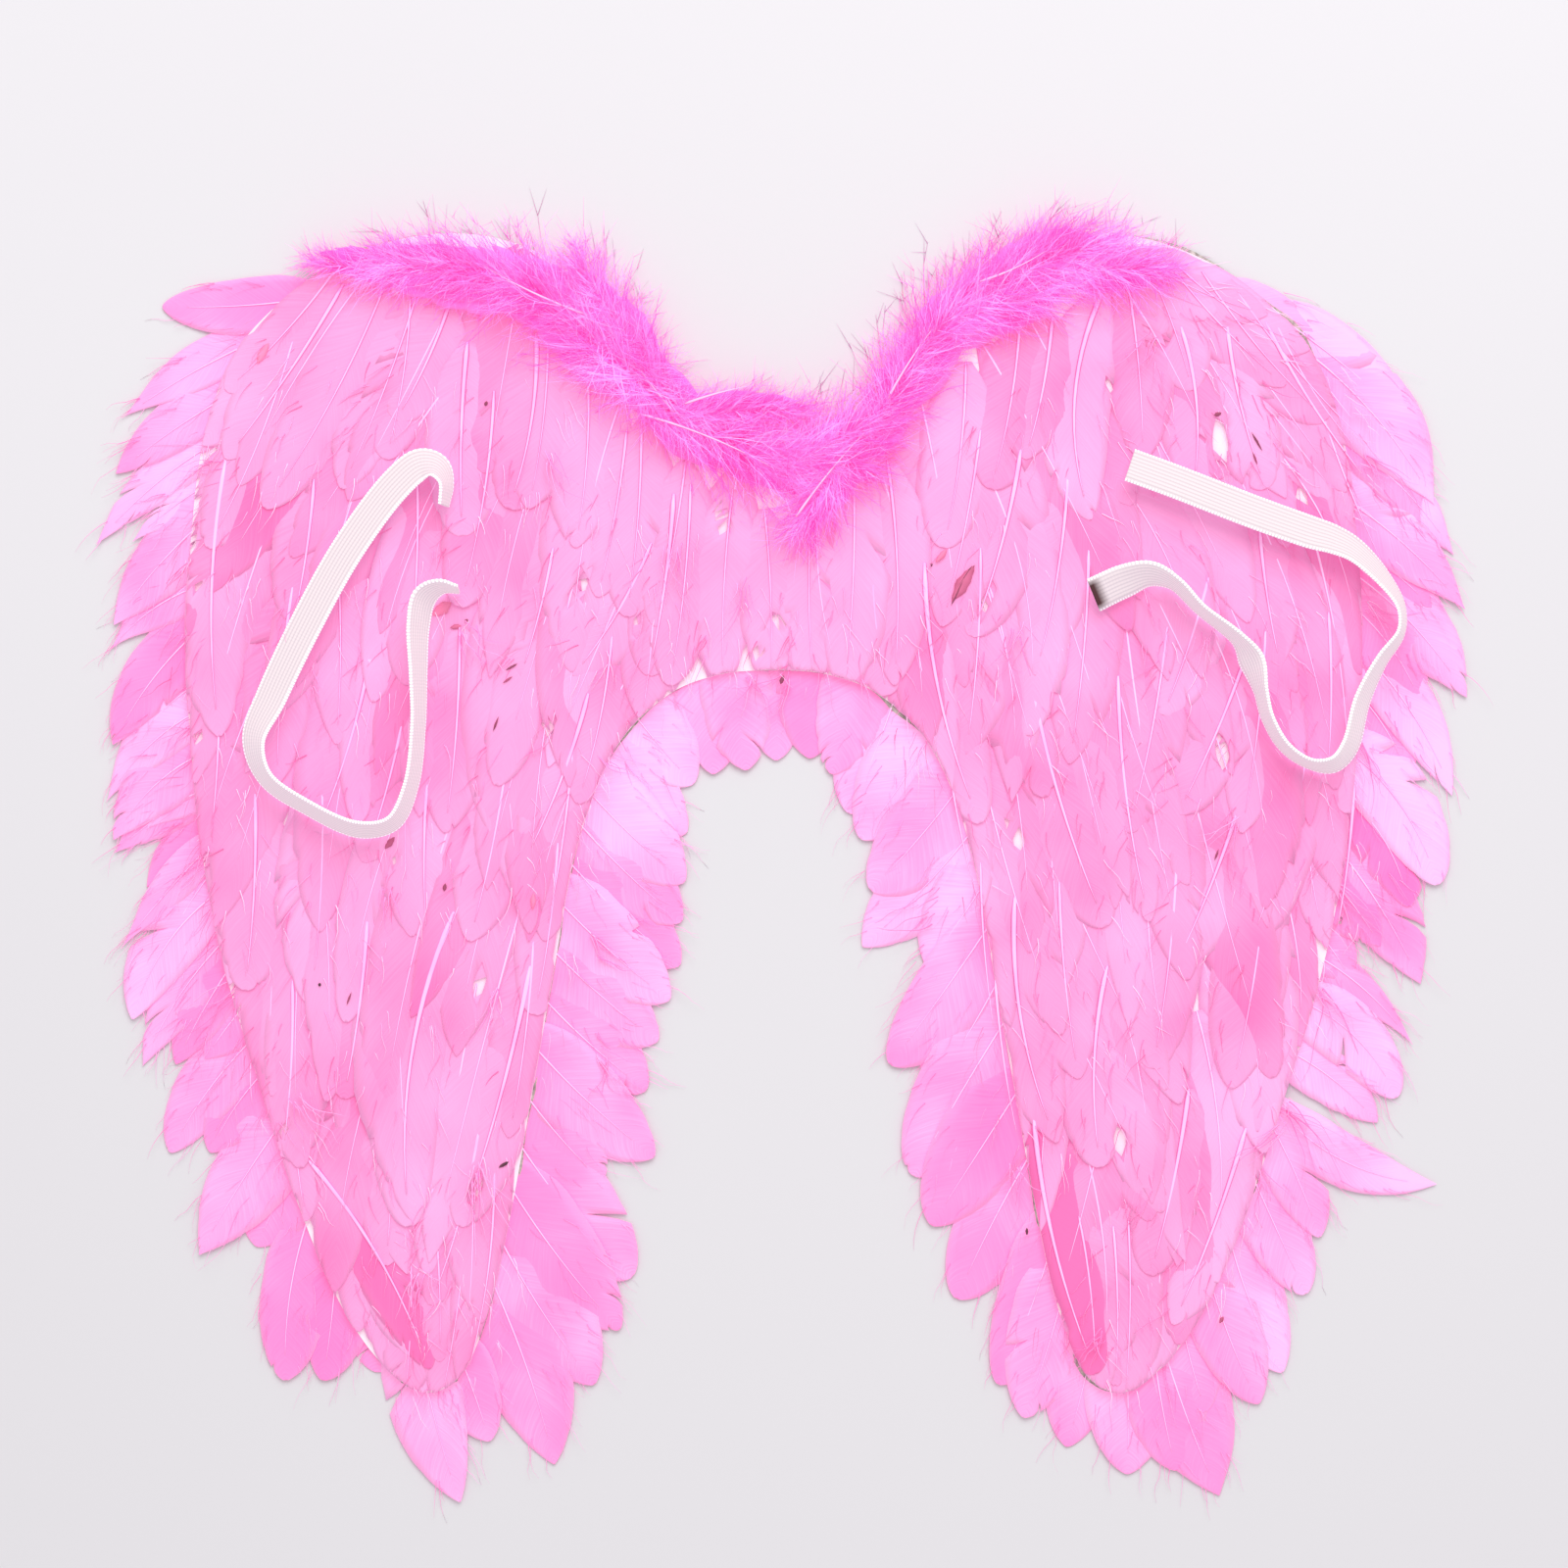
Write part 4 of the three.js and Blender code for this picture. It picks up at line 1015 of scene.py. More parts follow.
# small places where the feathers part and the white sheet shows, in photo pixels: middle,
# half length, half width and the lean in degrees of each slit
gapTable = asTable(["column", "row", "halfLength", "halfWidth", "lean"], [
    (1182, 352, 18, 7, 50), (1244, 455, 34, 8, -4), (592, 600, 26, 6, 30), (792, 636, 18, 8, 80),
    (738, 530, 22, 8, -12), (560, 740, 20, 7, 30), (1036, 850, 24, 6, -28), (1246, 768, 22, 7, -10),
    (1142, 1162, 18, 7, 0), (490, 1002, 20, 6, 10), (486, 1212, 20, 7, 20),
    (266, 312, 34, 6, 46), (236, 350, 24, 5, 22), (200, 528, 60, 4, 3), (203, 599, 13, 3, 38),
    (203, 754, 8, 6, 40), (290, 1154, 16, 4, 30), (1371, 460, 5, 4, 80), (545, 640, 16, 4, 20),
    (1132, 397, 12, 2.5, -28), (1225, 446, 9, 3, -35), (1327, 509, 15, 6, -20), (1170, 337, 7, 4, 10),
    (1003, 619, 26, 5, 24), (400, 884, 18, 3, 30), (768, 668, 14, 5, 70), (1010, 700, 16, 4, -20),
    (650, 640, 18, 4, 8),
])


def inLens(spots, centre, ways, reach):
    # place of spots in a lens, along and across it as shares of its half sizes, and how wide it
    # is there, 1 - along squared
    away = spots[..., :2] - centre
    along, aside = (away @ ways[axis] / reach[axis] for axis in (0, 1))
    return aside, np.clip(1 - along ** 2, 0, 1)


def openGaps(points, quads, keep):
    # Parts the feathers at the slits: each is a lens, pointed at both ends. A point inside it
    # moves sideways to its rim, and a face whose middle is inside is left out.
    middleOfFace = points.reshape(-1, 3)[quads].mean(-2)
    centres = np.stack(fromPhoto(gapTable["column"], gapTable["row"]), -1)
    for place, centre in enumerate(centres):
        lean = math.radians(gapTable["lean"][place])
        ways = np.array([(math.sin(lean), math.cos(lean)), (math.cos(lean), -math.sin(lean))])
        reach = np.array([gapTable["halfLength"][place], gapTable["halfWidth"][place]]) * pixel
        aside, opening = inLens(middleOfFace, centre, ways, reach)
        keep = keep & (np.abs(aside) > 0.8 * opening)
        aside, opening = inLens(points, centre, ways, reach)
        shift = (np.where(aside < 0, -1, 1) * opening - aside) * reach[1] * (np.abs(aside) < opening)
        points[..., :2] += shift[..., None] * ways[1]
    return points, keep


# loose curling barbs in photo pixels: middle of the tuft, the way it points in degrees from
# the right, how many, how long in millimetres, and whether it lies on the front feathers
curlNames = ["column", "row", "heading", "count", "length", "onFront"]
curlTable = {
    "left": asTable(curlNames, [
        (236, 472, 186, 9, 34, 0), (222, 640, 214, 7, 30, 0), (210, 738, 206, 8, 28, 0),
        (215, 872, 222, 8, 30, 0), (240, 1004, 232, 8, 32, 0), (300, 1168, 236, 8, 30, 0),
        (612, 770, 304, 6, 24, 0), (618, 1082, 300, 8, 26, 0), (606, 962, 312, 6, 22, 0),
        (492, 1190, 262, 9, 34, 1), (506, 1012, 250, 6, 26, 1), (432, 1300, 258, 9, 26, 1),
        (476, 640, 300, 6, 18, 1), (318, 620, 250, 5, 24, 1), (690, 560, 262, 7, 24, 1),
        (560, 470, 276, 7, 26, 1), (300, 1120, 300, 7, 24, 1), (395, 905, 260, 6, 20, 1),
    ]),
    "right": asTable(curlNames, [
        (1392, 470, -28, 7, 30, 0), (1398, 622, -34, 7, 28, 0), (1388, 764, -42, 8, 28, 0),
        (1362, 905, -44, 9, 32, 0), (1344, 1010, -46, 9, 32, 0), (1306, 1132, -24, 10, 36, 0),
        (1280, 1190, -58, 7, 28, 0), (940, 930, 222, 5, 20, 0), (765, 690, 284, 7, 22, 0),
        (800, 690, 262, 7, 22, 0), (1305, 1150, 214, 6, 26, 1), (1034, 640, 262, 7, 26, 1),
        (1170, 350, 228, 7, 20, 1), (1260, 840, 250, 6, 24, 1), (1040, 1190, 268, 6, 22, 1),
        (1120, 1360, 250, 8, 20, 1), (760, 600, 280, 8, 20, 1), (1230, 650, 262, 6, 22, 1),
    ]),
}


curl = {"frontHeight": 0.0080, "rimHeight": 0.0030, "scatter": 0.0022, "fan": 17, "steps": 12}


def looseCurls(name, table, side, seed, material):
    # tufts of long curling barbs: their headings fan out and their ends bend round
    rng = np.random.default_rng(seed)
    pick = np.repeat(np.arange(len(table["count"])), table["count"].astype(int))
    x, y = fromPhoto(table["column"][pick], table["row"][pick])
    count = len(pick)
    high = np.where(table["onFront"][pick] > 0, curl["frontHeight"], curl["rimHeight"])
    roots = np.stack([x + rng.normal(0, curl["scatter"], count), y + rng.normal(0, curl["scatter"], count),
                      high + rng.uniform(0, 0.0012, count)], -1)
    heading = np.radians(table["heading"][pick] + rng.normal(0, curl["fan"], count))
    made = strandGrid(roots, heading, np.radians(rng.uniform(0, 12, count)),
                      table["length"][pick] / 1000 * rng.uniform(0.55, 1.15, count),
                      rng.uniform(0.00022, 0.00050, count), side * rng.normal(-0.25, 0.30, count),
                      rng.uniform(0.0, 0.14, count), rng.uniform(0.0, 0.12, count), seed,
                      curl["steps"])
    return strandPiece(name, [made], material)


# loose barbs: how many a feather, their length and radius in metres, how far from the shaft
# they start, as shares of the half width, and how far they turn away from the tip, degrees
rimBarbs = {"perFeather": 16, "length": 0.013, "radius": 0.00018, "from": 0.6, "to": 1.0, "turn": 30}
frontBarbs = {"perFeather": 9, "length": 0.012, "radius": 0.00024, "from": 0.5, "to": 1.05, "turn": 45}


def looseBarbs(name, feathers, kind, side, seed, material):
    # Barbs that have come loose from the outer half of the vanes: their roots lie on the vane,
    # and they sweep on toward its tip and curl
    rng = np.random.default_rng(seed)
    pick = np.repeat(np.arange(len(feathers["ragged"])), kind["perFeather"])
    get = lambda key: feathers[key][pick]
    s = rng.uniform(0.40, 0.97, len(pick))
    sign = np.where(rng.random(len(pick)) < 0.5, -1.0, 1.0)
    (x, y, z), left, slope, length = shaftPath(get, s)
    across = sign * closingWidth(s, get("pointed")) * get("width") / 2
    across = across * rng.uniform(kind["from"], kind["to"], len(pick))
    roots = np.stack([x + left[0] * across, y + left[1] * across, z + 0.0004], -1)
    shaftWay = np.arctan2(-left[0], left[1]) + slope
    heading = shaftWay + sign * np.radians(rng.uniform(2, kind["turn"], len(pick)))
    run = kind["length"] * rng.uniform(0.4, 1.5, len(pick))
    made = strandGrid(roots, heading, np.radians(rng.uniform(0, 16, len(pick))), run,
                      kind["radius"] * rng.uniform(0.6, 1.3, len(pick)),
                      -sign * rng.uniform(-0.1, 0.45, len(pick)), rng.uniform(0.0, 0.25, len(pick)),
                      rng.uniform(0, 0.08, len(pick)), seed, 6)
    return strandPiece(name, [made], material)


def featherPiece(name, feathers, seed, material, replaced, withGaps=False):
    # all the vanes of one piece as one mesh
    points, quads, keep, uv, tone = featherGrid(feathers, seed)
    if withGaps:
        points, keep = openGaps(points, quads, keep)
        points, keep = trimToSheet(points, quads, keep)
    piece = addPiece(name, points, [quads[keep]], material, uv=uv, tone=tone)
    solidify(piece, vane["wall"])
    if replaced:
        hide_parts(*replaced)
    print(name, len(feathers["baseX"]), "feathers")
    return piece


def quillPiece(name, feathers, radius, until, lift, material):
    # the shafts of one piece as one mesh
    points, faces, tone = quillGrid(feathers, radius, until, lift)
    return addPiece(name, points, faces, material, tone=tone)


# marks on the feathers in photo pixels: middle, half length, half width, lean in degrees, and
# shade from dark brown to salmon
markTable = asTable(["column", "row", "halfLength", "halfWidth", "lean", "shade"], [
    (982, 596, 22, 6.5, 32, 0.55), (984, 589, 13, 2.0, 34, 0.12), (976, 606, 14, 1.2, 26, 0.16),
    (960, 568, 9, 3.0, 40, 0.85), (950, 577, 1.8, 1.2, 0, 0.10), (1241, 424, 4, 2.2, 70, 0.30),
    (497, 413, 2.6, 1.8, 20, 0.20), (455, 905, 4, 2.0, 10, 0.35), (545, 919, 9, 2.6, 4, 0.80),
    (399, 860, 8, 3.0, 40, 0.48), (328, 1004, 2, 1.5, 0, 0.10), (515, 1187, 6, 1.8, 60, 0.08),
    (523, 681, 7, 1.2, 60, 0.25), (519, 694, 6, 1.2, 55, 0.45), (507, 739, 8, 1.1, 20, 0.40),
    (477, 634, 2.2, 1.8, 30, 0.20), (466, 640, 6, 2.4, 80, 0.55), (452, 622, 12, 6.0, 55, 0.88),
    (1281, 452, 11, 1.1, -30, 0.22), (1279, 469, 7, 1.0, -20, 0.30), (798, 694, 5, 2.2, 20, 0.30),
    (270, 362, 12, 4.0, 30, 0.92), (358, 1018, 7, 1.0, 20, 0.35), (1047, 1255, 4, 1.5, 0, 0.12),
    (1245, 1345, 4, 2.0, 30, 0.45), (1240, 872, 6, 1.1, 20, 0.30),
])


def makeMarks(material, ground):
    # Small flat lenses that lie just over the highest vane near them: half width at t is
    # the full half width times 1 - t squared
    spots = [np.empty(len(piece.data.vertices) * 3, np.float32) for piece in ground]
    for piece, values in zip(ground, spots):
        piece.data.vertices.foreach_get("co", values)
    places = np.concatenate(spots).reshape(-1, 3).astype(float)
    x, y = fromPhoto(markTable["column"], markTable["row"])
    away = np.hypot(places[:, :1] - x, places[:, 1:2] - y)
    high = np.where(away < 0.005, places[:, 2:], 0.004).max(0) + 0.0005
    lean = np.radians(markTable["lean"])
    steps = 9
    t = np.linspace(-1, 1, steps)[None, :, None]
    v = np.array([-1, 0, 1])[None, None, :]
    uneven = 1 + 0.25 * smoothNoise(t * 2.0, np.arange(len(x))[:, None, None] + 3.0 * v, 3, 1.0)
    along = t * (markTable["halfLength"] * pixel)[:, None, None] + 0 * v
    aside = v * (1 - t ** 2) * uneven * (markTable["halfWidth"] * pixel)[:, None, None]
    sine, cosine = np.sin(lean)[:, None, None], np.cos(lean)[:, None, None]
    points = np.stack([x[:, None, None] + along * sine + aside * cosine,
                       y[:, None, None] + along * cosine - aside * sine,
                       high[:, None, None] + 0.0002 * (1 - np.abs(v)) + 0 * along], -1)
    quads = gridFaces(len(x), steps, 3, acrossFirst=True).reshape(-1, 4)
    tone = toneOf(markTable["shade"][:, None, None] + 0 * along)
    piece = addPiece("dried_bits", points, [quads], material, tone=tone)
    solidify(piece, 0.0001)
    print("marks", len(x))


# marabou trim

marabou = {
    "barbsPerPlume": 250,
    "fibresPerBarb": 4,
    "barbRadius": 0.00032,
    "fibreRadius": 0.00013,
    "fibreLength": 0.009,
    "stemRadius": 0.0008,
    "height": 0.0105,
    "tufts": 16,                 # clumps of barbs along each plume
    "spread": 50,                # degrees between barb and stem at the root
    "spreadLoss": 30,            # and how many fewer at the tip
    "reach": (0.80, 1.50),       # barbs' lengths as shares of the half width
    "climb": 46,                 # steepest barb, degrees
    "coreWidth": 1.28,           # width of the soft mass, as a share of the half width
    "coreStep": 0.25,            # and how much slimmer its upper layer is
    "coreLift": 0.0088,
    "coreLayer": 0.0012,
}
# plumes in photo pixels: root, tip, half width and bow, with the piece each belongs to
plumeNames = ["rootColumn", "rootRow", "tipColumn", "tipRow", "half", "bow"]
plumes = {
    "left": asTable(plumeNames, [
        (500, 277, 330, 272, 26, 0.03),
        (560, 300, 395, 266, 42, 0.02),
        (610, 330, 455, 268, 50, -0.04),
        (675, 400, 540, 292, 52, 0.03),
        (705, 430, 585, 330, 50, 0.02),
        (600, 325, 690, 430, 44, -0.03),
        (680, 385, 592, 272, 40, 0.04),
    ]),
    "neck": asTable(plumeNames, [
        (660, 425, 795, 488, 50, 0.03),
        (690, 425, 820, 462, 40, -0.05),
        (686, 428, 818, 424, 30, 0.03),
        (880, 440, 820, 534, 44, -0.02),
        (760, 470, 880, 480, 44, 0.04),
        (800, 500, 890, 430, 48, 0.05),
    ]),
    "right": asTable(plumeNames, [
        (888, 464, 936, 359, 42, 0.02),
        (914, 416, 994, 292, 48, 0.05),
        (948, 345, 1062, 259, 50, -0.04),
        (1004, 294, 1124, 254, 44, 0.03),
        (1066, 282, 1178, 280, 38, 0.03),
        (985, 330, 1080, 290, 40, 0.0),
    ]),
}


# stems that show on top of the down, in photo pixels, with their height in millimetres
stemNames = ["rootColumn", "rootRow", "tipColumn", "tipRow", "bow", "height"]
stems = {
    "left": asTable(stemNames, [(602, 326, 498, 277, 0.03, 15), (690, 425, 640, 360, 0.02, 13)]),
    "neck": asTable(stemNames, [
        (655, 426, 792, 482, 0.03, 15), (700, 416, 766, 398, 0.02, 17), (812, 530, 882, 444, 0.02, 15),
    ]),
    "right": asTable(stemNames, [(998, 292, 1068, 259, -0.04, 15), (905, 410, 950, 340, 0.02, 14)]),
}


def plumeStrands(table, seed):
    # Barbs leave a bowed stem on both sides, swept toward its tip, and thin fibres leave the
    # barbs. Their reach follows the plume's half width, fullest in the middle of the stem.
    rng = np.random.default_rng(seed)
    count = len(table["rootColumn"])
    per = marabou["barbsPerPlume"]
    baseX, baseY = fromPhoto(table["rootColumn"], table["rootRow"])
    tipX, tipY = fromPhoto(table["tipColumn"], table["tipRow"])
    pick = np.repeat(np.arange(count), per)
    s = rng.random(count * per) ** 0.85
    clump = np.round(s * marabou["tufts"] + rng.normal(0, 0.10, s.shape)) / marabou["tufts"]
    s = np.clip(s * 0.45 + clump * 0.55, 0, 1)
    dx, dy = (tipX - baseX)[pick], (tipY - baseY)[pick]
    length = np.hypot(dx, dy)
    bow = table["bow"][pick] * length
    aside = 4 * bow * s * (1 - s)
    slope = 4 * bow * (1 - 2 * s) / length
    rootX = baseX[pick] + dx * s - dy / length * aside
    rootY = baseY[pick] + dy * s + dx / length * aside
    sign = np.where(rng.random(s.shape) < 0.5, -1.0, 1.0)
    tipward = np.arctan2(dy, dx) + np.arctan(slope)
    spread = marabou["spread"] - marabou["spreadLoss"] * s ** 2
    spread = np.radians(spread + rng.normal(0, 12, s.shape))
    heading = tipward + sign * spread
    half = table["half"][pick] * pixel * 1.1
    envelope = 0.55 + 0.6 * np.sin(math.pi * np.clip(s * 0.9 + 0.08, 0, 1))
    tuft = 1 + 0.30 * smoothNoise(s * 3.0, pick + 5.0 * sign, 3, 1.0)
    barb = half * envelope * tuft * rng.uniform(*marabou["reach"], s.shape)
    shade = np.clip(0.5 + 0.38 * smoothNoise(s * 9.0, pick + 3.0 * sign, 4, 1.0)
                    + rng.normal(0, 0.16, s.shape), 0, 1)
    climb = np.radians(rng.uniform(0, marabou["climb"], s.shape))
    roots = np.stack([rootX, rootY, marabou["height"] + rng.uniform(-0.003, 0.002, s.shape)], -1)
    ones = np.ones(len(s))
    bend = -sign * rng.uniform(0.05, 0.35, s.shape)
    droop = rng.uniform(0.25, 0.75, s.shape)
    wiggle = rng.uniform(0.0, 0.06, s.shape)
    barbs = strandGrid(roots, heading, climb, barb, marabou["barbRadius"] * ones, bend, droop, wiggle,
                       seed, 5, shade)
    centre = barbs[4]
    # fibres start at a random place on their barb
    times = marabou["fibresPerBarb"]
    owner = np.repeat(np.arange(len(s)), times)
    where = rng.uniform(0.5, 3.99, len(owner))
    low = where.astype(int)
    part = (where - low)[:, None]
    starts = centre[owner, low] * (1 - part) + centre[owner, low + 1] * part
    fibreSign = np.where(rng.random(len(owner)) < 0.5, -1.0, 1.0)
    fibreHeading = heading[owner] + fibreSign * np.radians(rng.uniform(6, 44, len(owner)))
    fibreLength = marabou["fibreLength"] * rng.uniform(0.5, 1.5, len(owner))
    fibres = strandGrid(
        starts, fibreHeading, np.radians(rng.uniform(-12, 50, len(owner))), fibreLength,
        marabou["fibreRadius"] * np.ones(len(owner)), rng.normal(0, 0.3, len(owner)),
        rng.uniform(0, 0.6, len(owner)), rng.uniform(0, 0.08, len(owner)), seed + 1, 2,
        np.clip(shade[owner] + rng.normal(0.08, 0.1, len(owner)), 0, 1))
    return barbs, fibres


def strandPiece(name, sets, material):
    # several sets of strands as one mesh
    points, quads, caps, tones, start = [], [], [], [], 0
    for made in sets:
        points.append(made[0].reshape(-1, 3))
        quads.append(made[1] + start)
        caps.append(made[2] + start)
        tones.append(made[3].reshape(-1, 4))
        start += len(points[-1])
    allPoints = np.vstack(points)
    allPoints[:, 2] = np.maximum(allPoints[:, 2], 0.0005)
    return addPiece(name, allPoints, [np.vstack(quads), np.vstack(caps)], material,
                    tone=np.vstack(tones))


def plumeCore(table, seed):
    # the soft mass under the strands: ragged blades along each plume and one beside it
    rng = np.random.default_rng(seed)
    baseX, baseY = fromPhoto(table["rootColumn"], table["rootRow"])
    tipX, tipY = fromPhoto(table["tipColumn"], table["tipRow"])
    count = len(baseX)
    blades = []
    for layer in range(2):
        shift = rng.normal(0, 0.003, (4, count))
        wide = marabou["coreWidth"] - marabou["coreStep"] * layer
        blades.append(completed(
            {"baseX": baseX + shift[0], "baseY": baseY + shift[1], "tipX": tipX + shift[2],
             "tipY": tipY + shift[3]}, width=table["half"] * pixel * wide, bow=table["bow"],
            lift=marabou["coreLift"] + marabou["coreLayer"] * layer, rise=0.0, camber=0.12, ragged=1.0,
            splits=4, pointed=0.8, wavy=3.0, floor=0.0034, roll=rng.normal(0, 0.06, count),
            tone=rng.uniform(0.2, 0.8, count)))
    return joined(blades)


# straps

strap = {
    "width": 0.016,
    "thickness": 0.0012,
    "ribs": 9,
    "ribDepth": 0.00010,
    "acrossSteps": 25,
    "underSteps": 6,
    "alongStep": 0.0008,
    "seat": 0.00874,
    "toothDepth": 0.0004,
    "toothPitch": 0.0014,
    "glueLength": 0.006,
}
leftStrap = {
    "across": -0.561, "up": 0.803, "loopWidth": 0.093, "loopDrop": 0.161, "side": -1, "glued": 0.0,
}
rightStrap = {
    "across": 0.538, "up": 0.797, "loopWidth": 0.132, "loopDrop": 0.132, "side": 1, "glued": 1.0,
}
# places along each strap: out and down are shares of the loop, tilt stands it on its edge, degrees
leftRoute = [
    (-0.015, 0.125, 82), (-0.025, 0.060, 74), (0.020, 0.018, 48), (0.10, 0.012, 26),
    (0.21, 0.062, 24), (0.44, 0.240, 24), (0.64, 0.448, 24), (0.80, 0.643, 28), (0.880, 0.760, 48),
    (0.825, 0.862, 62), (0.63, 0.942, 66), (0.385, 1.003, 64), (0.225, 0.985, 70), (0.14, 0.885, 74),
    (0.105, 0.715, 75), (0.105, 0.580, 70), (0.105, 0.448, 60), (0.075, 0.372, 56),
    (0.00, 0.345, 72), (-0.084, 0.352, 82),
]
rightRoute = [
    (0.125, -0.008, 24), (0.27, 0.045, 24), (0.53, 0.146, 24), (0.72, 0.214, 26), (0.80, 0.240, 36),
    (0.867, 0.275, 46), (0.955, 0.362, 58), (1.018, 0.462, 70), (1.018, 0.548, 72),
    (0.954, 0.642, 66), (0.891, 0.772, 58), (0.850, 0.925, 56), (0.80, 0.982, 62),
    (0.72, 0.982, 79), (0.636, 0.928, 80), (0.578, 0.830, 80), (0.554, 0.736, 78),
    (0.526, 0.642, 52), (0.484, 0.574, 76), (0.355, 0.470, 80), (0.27, 0.385, 76),
    (0.188, 0.355, 52), (0.104, 0.378, 28), (0.004, 0.424, 24),
]


def makeStrap(name, route, place, material):
    # Ribbed webbing along its route. The section runs over the ribbed upper face and back under
    # it, and its edges are toothed. It stands on its lower edge as far as the tilt says.
    table = np.array(route, float)
    side = place["side"]
    startX = middleX + place["across"] * halfWidth
    startY = footY + place["up"] * sheetHeight
    knots = np.stack([startX + side * table[:, 0] * place["loopWidth"],
                      startY - table[:, 1] * place["loopDrop"]], -1)
    path = smoothCurve(knots, 40)
    places = np.linspace(0, len(route) - 1, len(path))
    tilts = np.radians(np.interp(places, np.arange(len(route)), table[:, 2]))
    kernel = np.hanning(41) / np.hanning(41).sum()
    tilts = np.convolve(np.pad(tilts, 20, mode="edge"), kernel, mode="valid")
    pathRun = np.concatenate([[0], np.cumsum(np.linalg.norm(np.diff(path, axis=0), axis=1))])
    steps = int(pathRun[-1] / strap["alongStep"])
    centre, run = evenly(path, steps)
    tilt = np.interp(run, pathRun, tilts)
    ahead = np.gradient(centre, axis=0)
    ahead = ahead / np.linalg.norm(ahead, axis=1)[:, None]
    aside = np.stack([-ahead[:, 1], ahead[:, 0]], -1)
    wide = np.column_stack([-side * np.cos(tilt)[:, None] * aside, np.sin(tilt)])
    ahead3 = np.column_stack([ahead, np.zeros(steps)])
    thick = np.cross(ahead3, wide)
    share = np.linspace(-0.5, 0.5, strap["acrossSteps"])
    rib = strap["ribDepth"] * (0.5 - 0.5 * np.cos(2 * math.pi * strap["ribs"] * (share + 0.5)))
    upper = strap["thickness"] / 2 - strap["ribDepth"] + rib
    section = np.concatenate([share, np.linspace(0.5, -0.5, strap["underSteps"])])
    heights = np.concatenate([upper, np.full(strap["underSteps"], -strap["thickness"] / 2)])
    tooth = 1 + strap["toothDepth"] / strap["width"] * 2 * np.abs(
        (run / strap["toothPitch"]) % 1 - 0.5)[:, None] * (np.abs(section) > 0.49)[None, :]
    acrossWay = section[None, :] * strap["width"] * tooth
    low = strap["seat"] + strap["width"] / 2 * np.sin(tilt) + strap["thickness"] / 2 * np.cos(tilt)
    points = np.empty((steps, len(section), 3))
    points[..., :2] = centre[:, None, :]
    points[..., 2] = low[:, None]
    points += wide[:, None, :] * acrossWay[..., None] + thick[:, None, :] * heights[None, :, None]
    sides = len(section)
    quads = gridFaces(1, steps, sides, True).reshape(-1, 4)
    firstEnd = np.arange(sides)[None, :]
    lastEnd = (steps - 1) * sides + np.arange(sides)[::-1][None, :]
    uv = np.stack(np.broadcast_arrays(section[None, :] + 0.5, run[:, None]), -1)
    glue = np.clip(1 - (run[-1] - run) / strap["glueLength"], 0, 1)[:, None] * place["glued"]
    glue = np.clip(glue * 1.4, 0, 1) * (np.abs(section) < 0.42)[None, :]
    piece = addPiece(name, points, [quads, firstEnd, lastEnd], material, uv=uv,
                     tone=toneOf(glue))
    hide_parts(name.replace("elastic", "strap"))
    print(name, round(float(pathRun[-1]), 4), "metres")


# making

# the last number of each feather material and the number before the roughness of each fibre material is its
# glow, painted light
featherPink = dyedFeather("dyed_goose_feather", "#dd62a2", "#dd86ba", "#e19bcb", "#e08ec2", 0.36)
rimPink = dyedFeather("dyed_goose_feather_thin", "#ed68af", "#ed82be", "#edabd9", "#eda4d6", 0.38)
downPink = dyedFeather("dyed_marabou_core", "#fb4cbc", "#ff66cc", "#ff88dc", "#ff88dc", 0.24)
marabouPink = toneFibre("dyed_marabou_barbs", "#fb50c0", "#ff80dc", "#ffb2f4", 0.30, 0.8)
wispPink = toneFibre("dyed_feather_barbs", "#ff86cc", "#ff9ad8", "#ffb4e8", 0.12, 0.8)
# shafts turn from pale on top to deep on the flanks: painted highlight and painted shade
quillPink = toneFibre("dyed_feather_shaft", "#ffbcee", "#f58fd0", "#d8509e", 0.14, 0.45)
thinQuillPink = toneFibre("dyed_feather_shaft_thin", "#ffc4f0", "#ffa6de", "#f684c8", 0.16, 0.5)
barbPink = toneFibre("dyed_barb_ends", "#f070b0", "#ff9cd6", "#ffd4f2", 0.18, 0.8)
bitBrown = toneFibre("dried_glue_and_leaf", "#4a2433", "#b04c74", "#ff86b4", 0.10, 0.6)
clothWhite = bondedCloth()
tapeGrey = woundTape()
elasticWhite = wovenElastic()
tableWhite = paleTable()

frontRows = {word: [f"front_row_{word}_{row}" for row in range(1, 10)] for word in ("left", "right")}
rimNodes = {word: [f"rim_feathers_{word}_{part}" for part in ("shoulder", "side", "tip", "inner")]
            for word in ("left", "right")}

for word, table, side, seed in (("left", leftRim, -1, 31), ("right", rightRim, 1, 32)):
    feathers = rimFeathers(table, side, seed)
    featherPiece(f"rim_vanes_{word}", feathers, seed, rimPink, rimNodes[word])
    quillPiece(f"rim_shafts_{word}", feathers, np.full(len(feathers["bow"]), 0.00060), 0.86, 0.0003,
               thinQuillPink)
    looseBarbs(f"rim_wisps_{word}", feathers, rimBarbs, side, seed + 2, wispPink)
    looseCurls(f"loose_barbs_{word}", curlTable[word], side, seed + 4, wispPink)
arch = rimFeathers(archRim, 1, 33)
featherPiece("rim_vanes_arch", arch, 33, rimPink, ["rim_feathers_arch"])

makeSheet(clothWhite)
makeWire(tapeGrey)

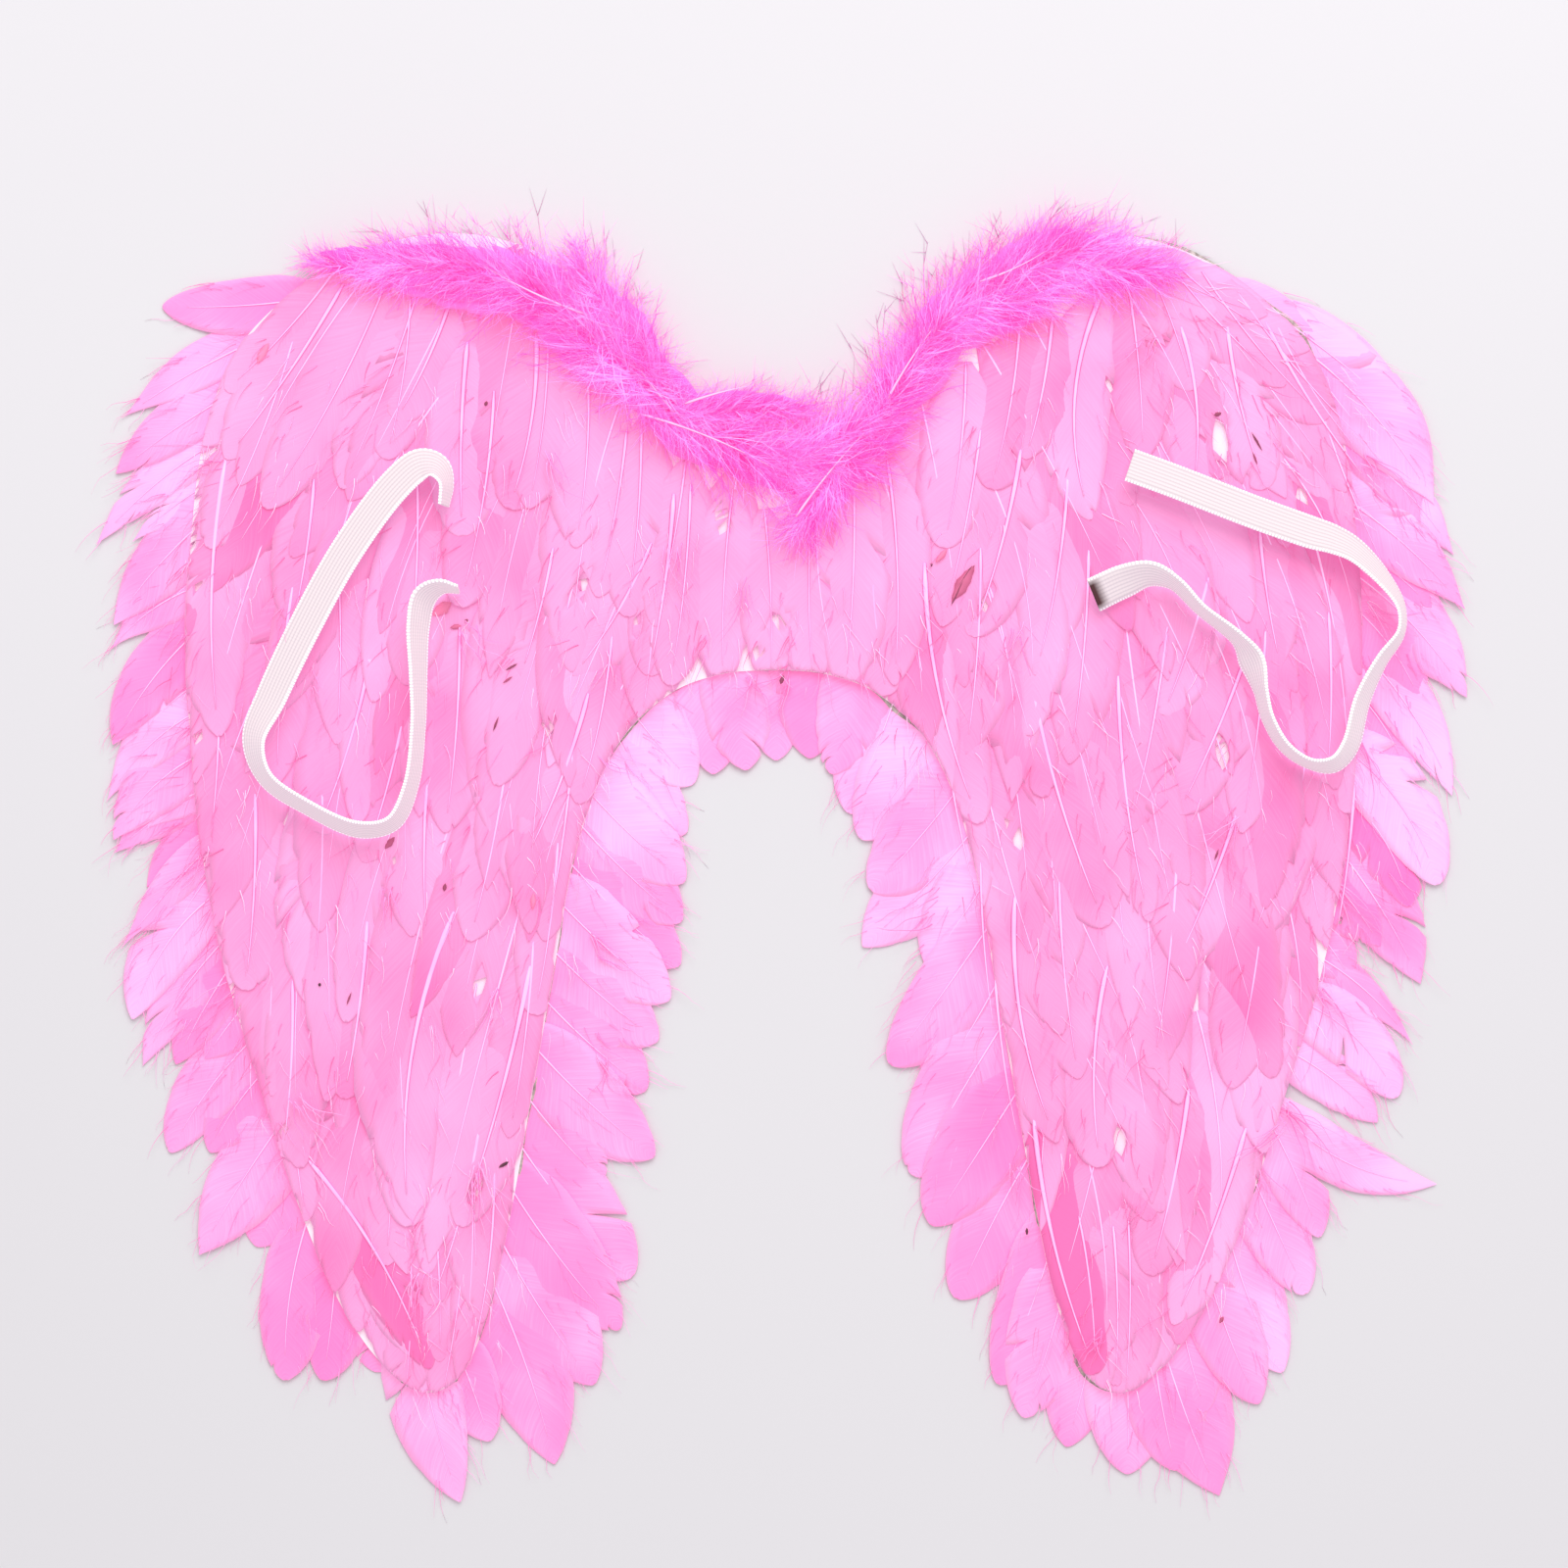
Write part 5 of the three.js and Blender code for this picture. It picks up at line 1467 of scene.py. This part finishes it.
frontPieces = []
for word, table, side, seed in (("left", leftHeroes, -1, 41), ("right", rightHeroes, 1, 42)):
    rows = fillRows(side)
    heroes = heroFeathers(table, side, seed)
    shaft = heroes.pop("shaft")
    frontPieces.append(featherPiece(f"front_vanes_{word}", joined([rows, heroes]), seed, featherPink,
                                    frontRows[word], True))
    quillPiece(f"front_shafts_{word}", heroes, 0.0014 * shaft, 0.9, 0.0004, quillPink)
    quillPiece(f"row_shafts_{word}", rows, np.full(len(rows["bow"]), 0.00070), 0.8, 0.0002,
               thinQuillPink)
    looseBarbs(f"front_barbs_{word}", joined([rows, heroes]), frontBarbs, side, seed + 6, barbPink)

makeMarks(bitBrown, frontPieces)

for word, seed in (("left", 51), ("neck", 61), ("right", 71)):
    barbs, fibres = plumeStrands(plumes[word], seed)
    piece = strandPiece(f"marabou_strands_{word}", [barbs, fibres], marabouPink)
    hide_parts(f"marabou_trim_{word}")
    core = plumeCore(plumes[word], seed)
    featherPiece(f"marabou_core_{word}", core, seed, downPink, [])
    shafts = stems[word]
    baseX, baseY = fromPhoto(shafts["rootColumn"], shafts["rootRow"])
    tipX, tipY = fromPhoto(shafts["tipColumn"], shafts["tipRow"])
    lines = completed({"baseX": baseX, "baseY": baseY, "tipX": tipX, "tipY": tipY},
                      lift=shafts["height"] / 1000, rise=0.0, arch=0.03, bow=shafts["bow"])
    quillPiece(f"marabou_stems_{word}", lines, np.full(len(baseX), marabou["stemRadius"]), 1.0, 0.0,
               quillPink)
    print("marabou", word)

makeStrap("elastic_left", leftRoute, leftStrap, elasticWhite)
makeStrap("elastic_right", rightRoute, rightStrap, elasticWhite)

# table, light and camera

studio = {
    "worldStrength": 0.80,
    "keyStrength": 33.0,
    "keyPlace": (0.25, 1.5, 1.7),
    "keySize": 1.6,
    "cameraHeight": 1.6,
    "tableHalf": 3.0,
}


def makeTable(material):
    # a flat square at the height of the lowest feathers
    half = studio["tableHalf"]
    corners = np.array([(-half, -half, 0), (half, -half, 0), (half, half, 0), (-half, half, 0)], float)
    mesh = bpy.data.meshes.new("table")
    mesh.from_pydata(corners.tolist(), [], [(0, 1, 2, 3)])
    mesh.materials.append(material)
    piece = bpy.data.objects.new("table", mesh)
    bpy.context.scene.collection.objects.link(piece)


def addLight(name, place, target, size, power):
    # a square soft light that faces its target
    data = bpy.data.lights.new(name, "AREA")
    data.size = size
    data.energy = power
    lamp = bpy.data.objects.new(name, data)
    bpy.context.scene.collection.objects.link(lamp)
    lamp.location = place
    aim = np.array(target, float) - np.array(place, float)
    flat = math.hypot(aim[0], aim[1])
    lamp.rotation_euler = (math.atan2(flat, -aim[2]), 0, math.atan2(-aim[0], aim[1]))


makeTable(tableWhite)
world = bpy.data.worlds.new("studio")
bpy.context.scene.world = world
world.use_nodes = True
world.node_tree.nodes["Background"].inputs["Color"].default_value = (1, 1, 1, 1)
world.node_tree.nodes["Background"].inputs["Strength"].default_value = studio["worldStrength"]
addLight("softbox", studio["keyPlace"], (0, 0, 0), studio["keySize"], studio["keyStrength"])

viewX, viewY = fromPhoto(photo["size"] / 2, photo["size"] / 2)
cameraData = bpy.data.cameras.new("camera")
cameraData.sensor_width = 36
cameraData.lens = cameraData.sensor_width * studio["cameraHeight"] / (photo["size"] * pixel)
camera = bpy.data.objects.new("camera", cameraData)
camera.location = (float(viewX), float(viewY), studio["cameraHeight"])
bpy.context.scene.collection.objects.link(camera)
bpy.context.scene.camera = camera
bpy.context.scene.view_settings.view_transform = "Standard"
print("table, light and camera")
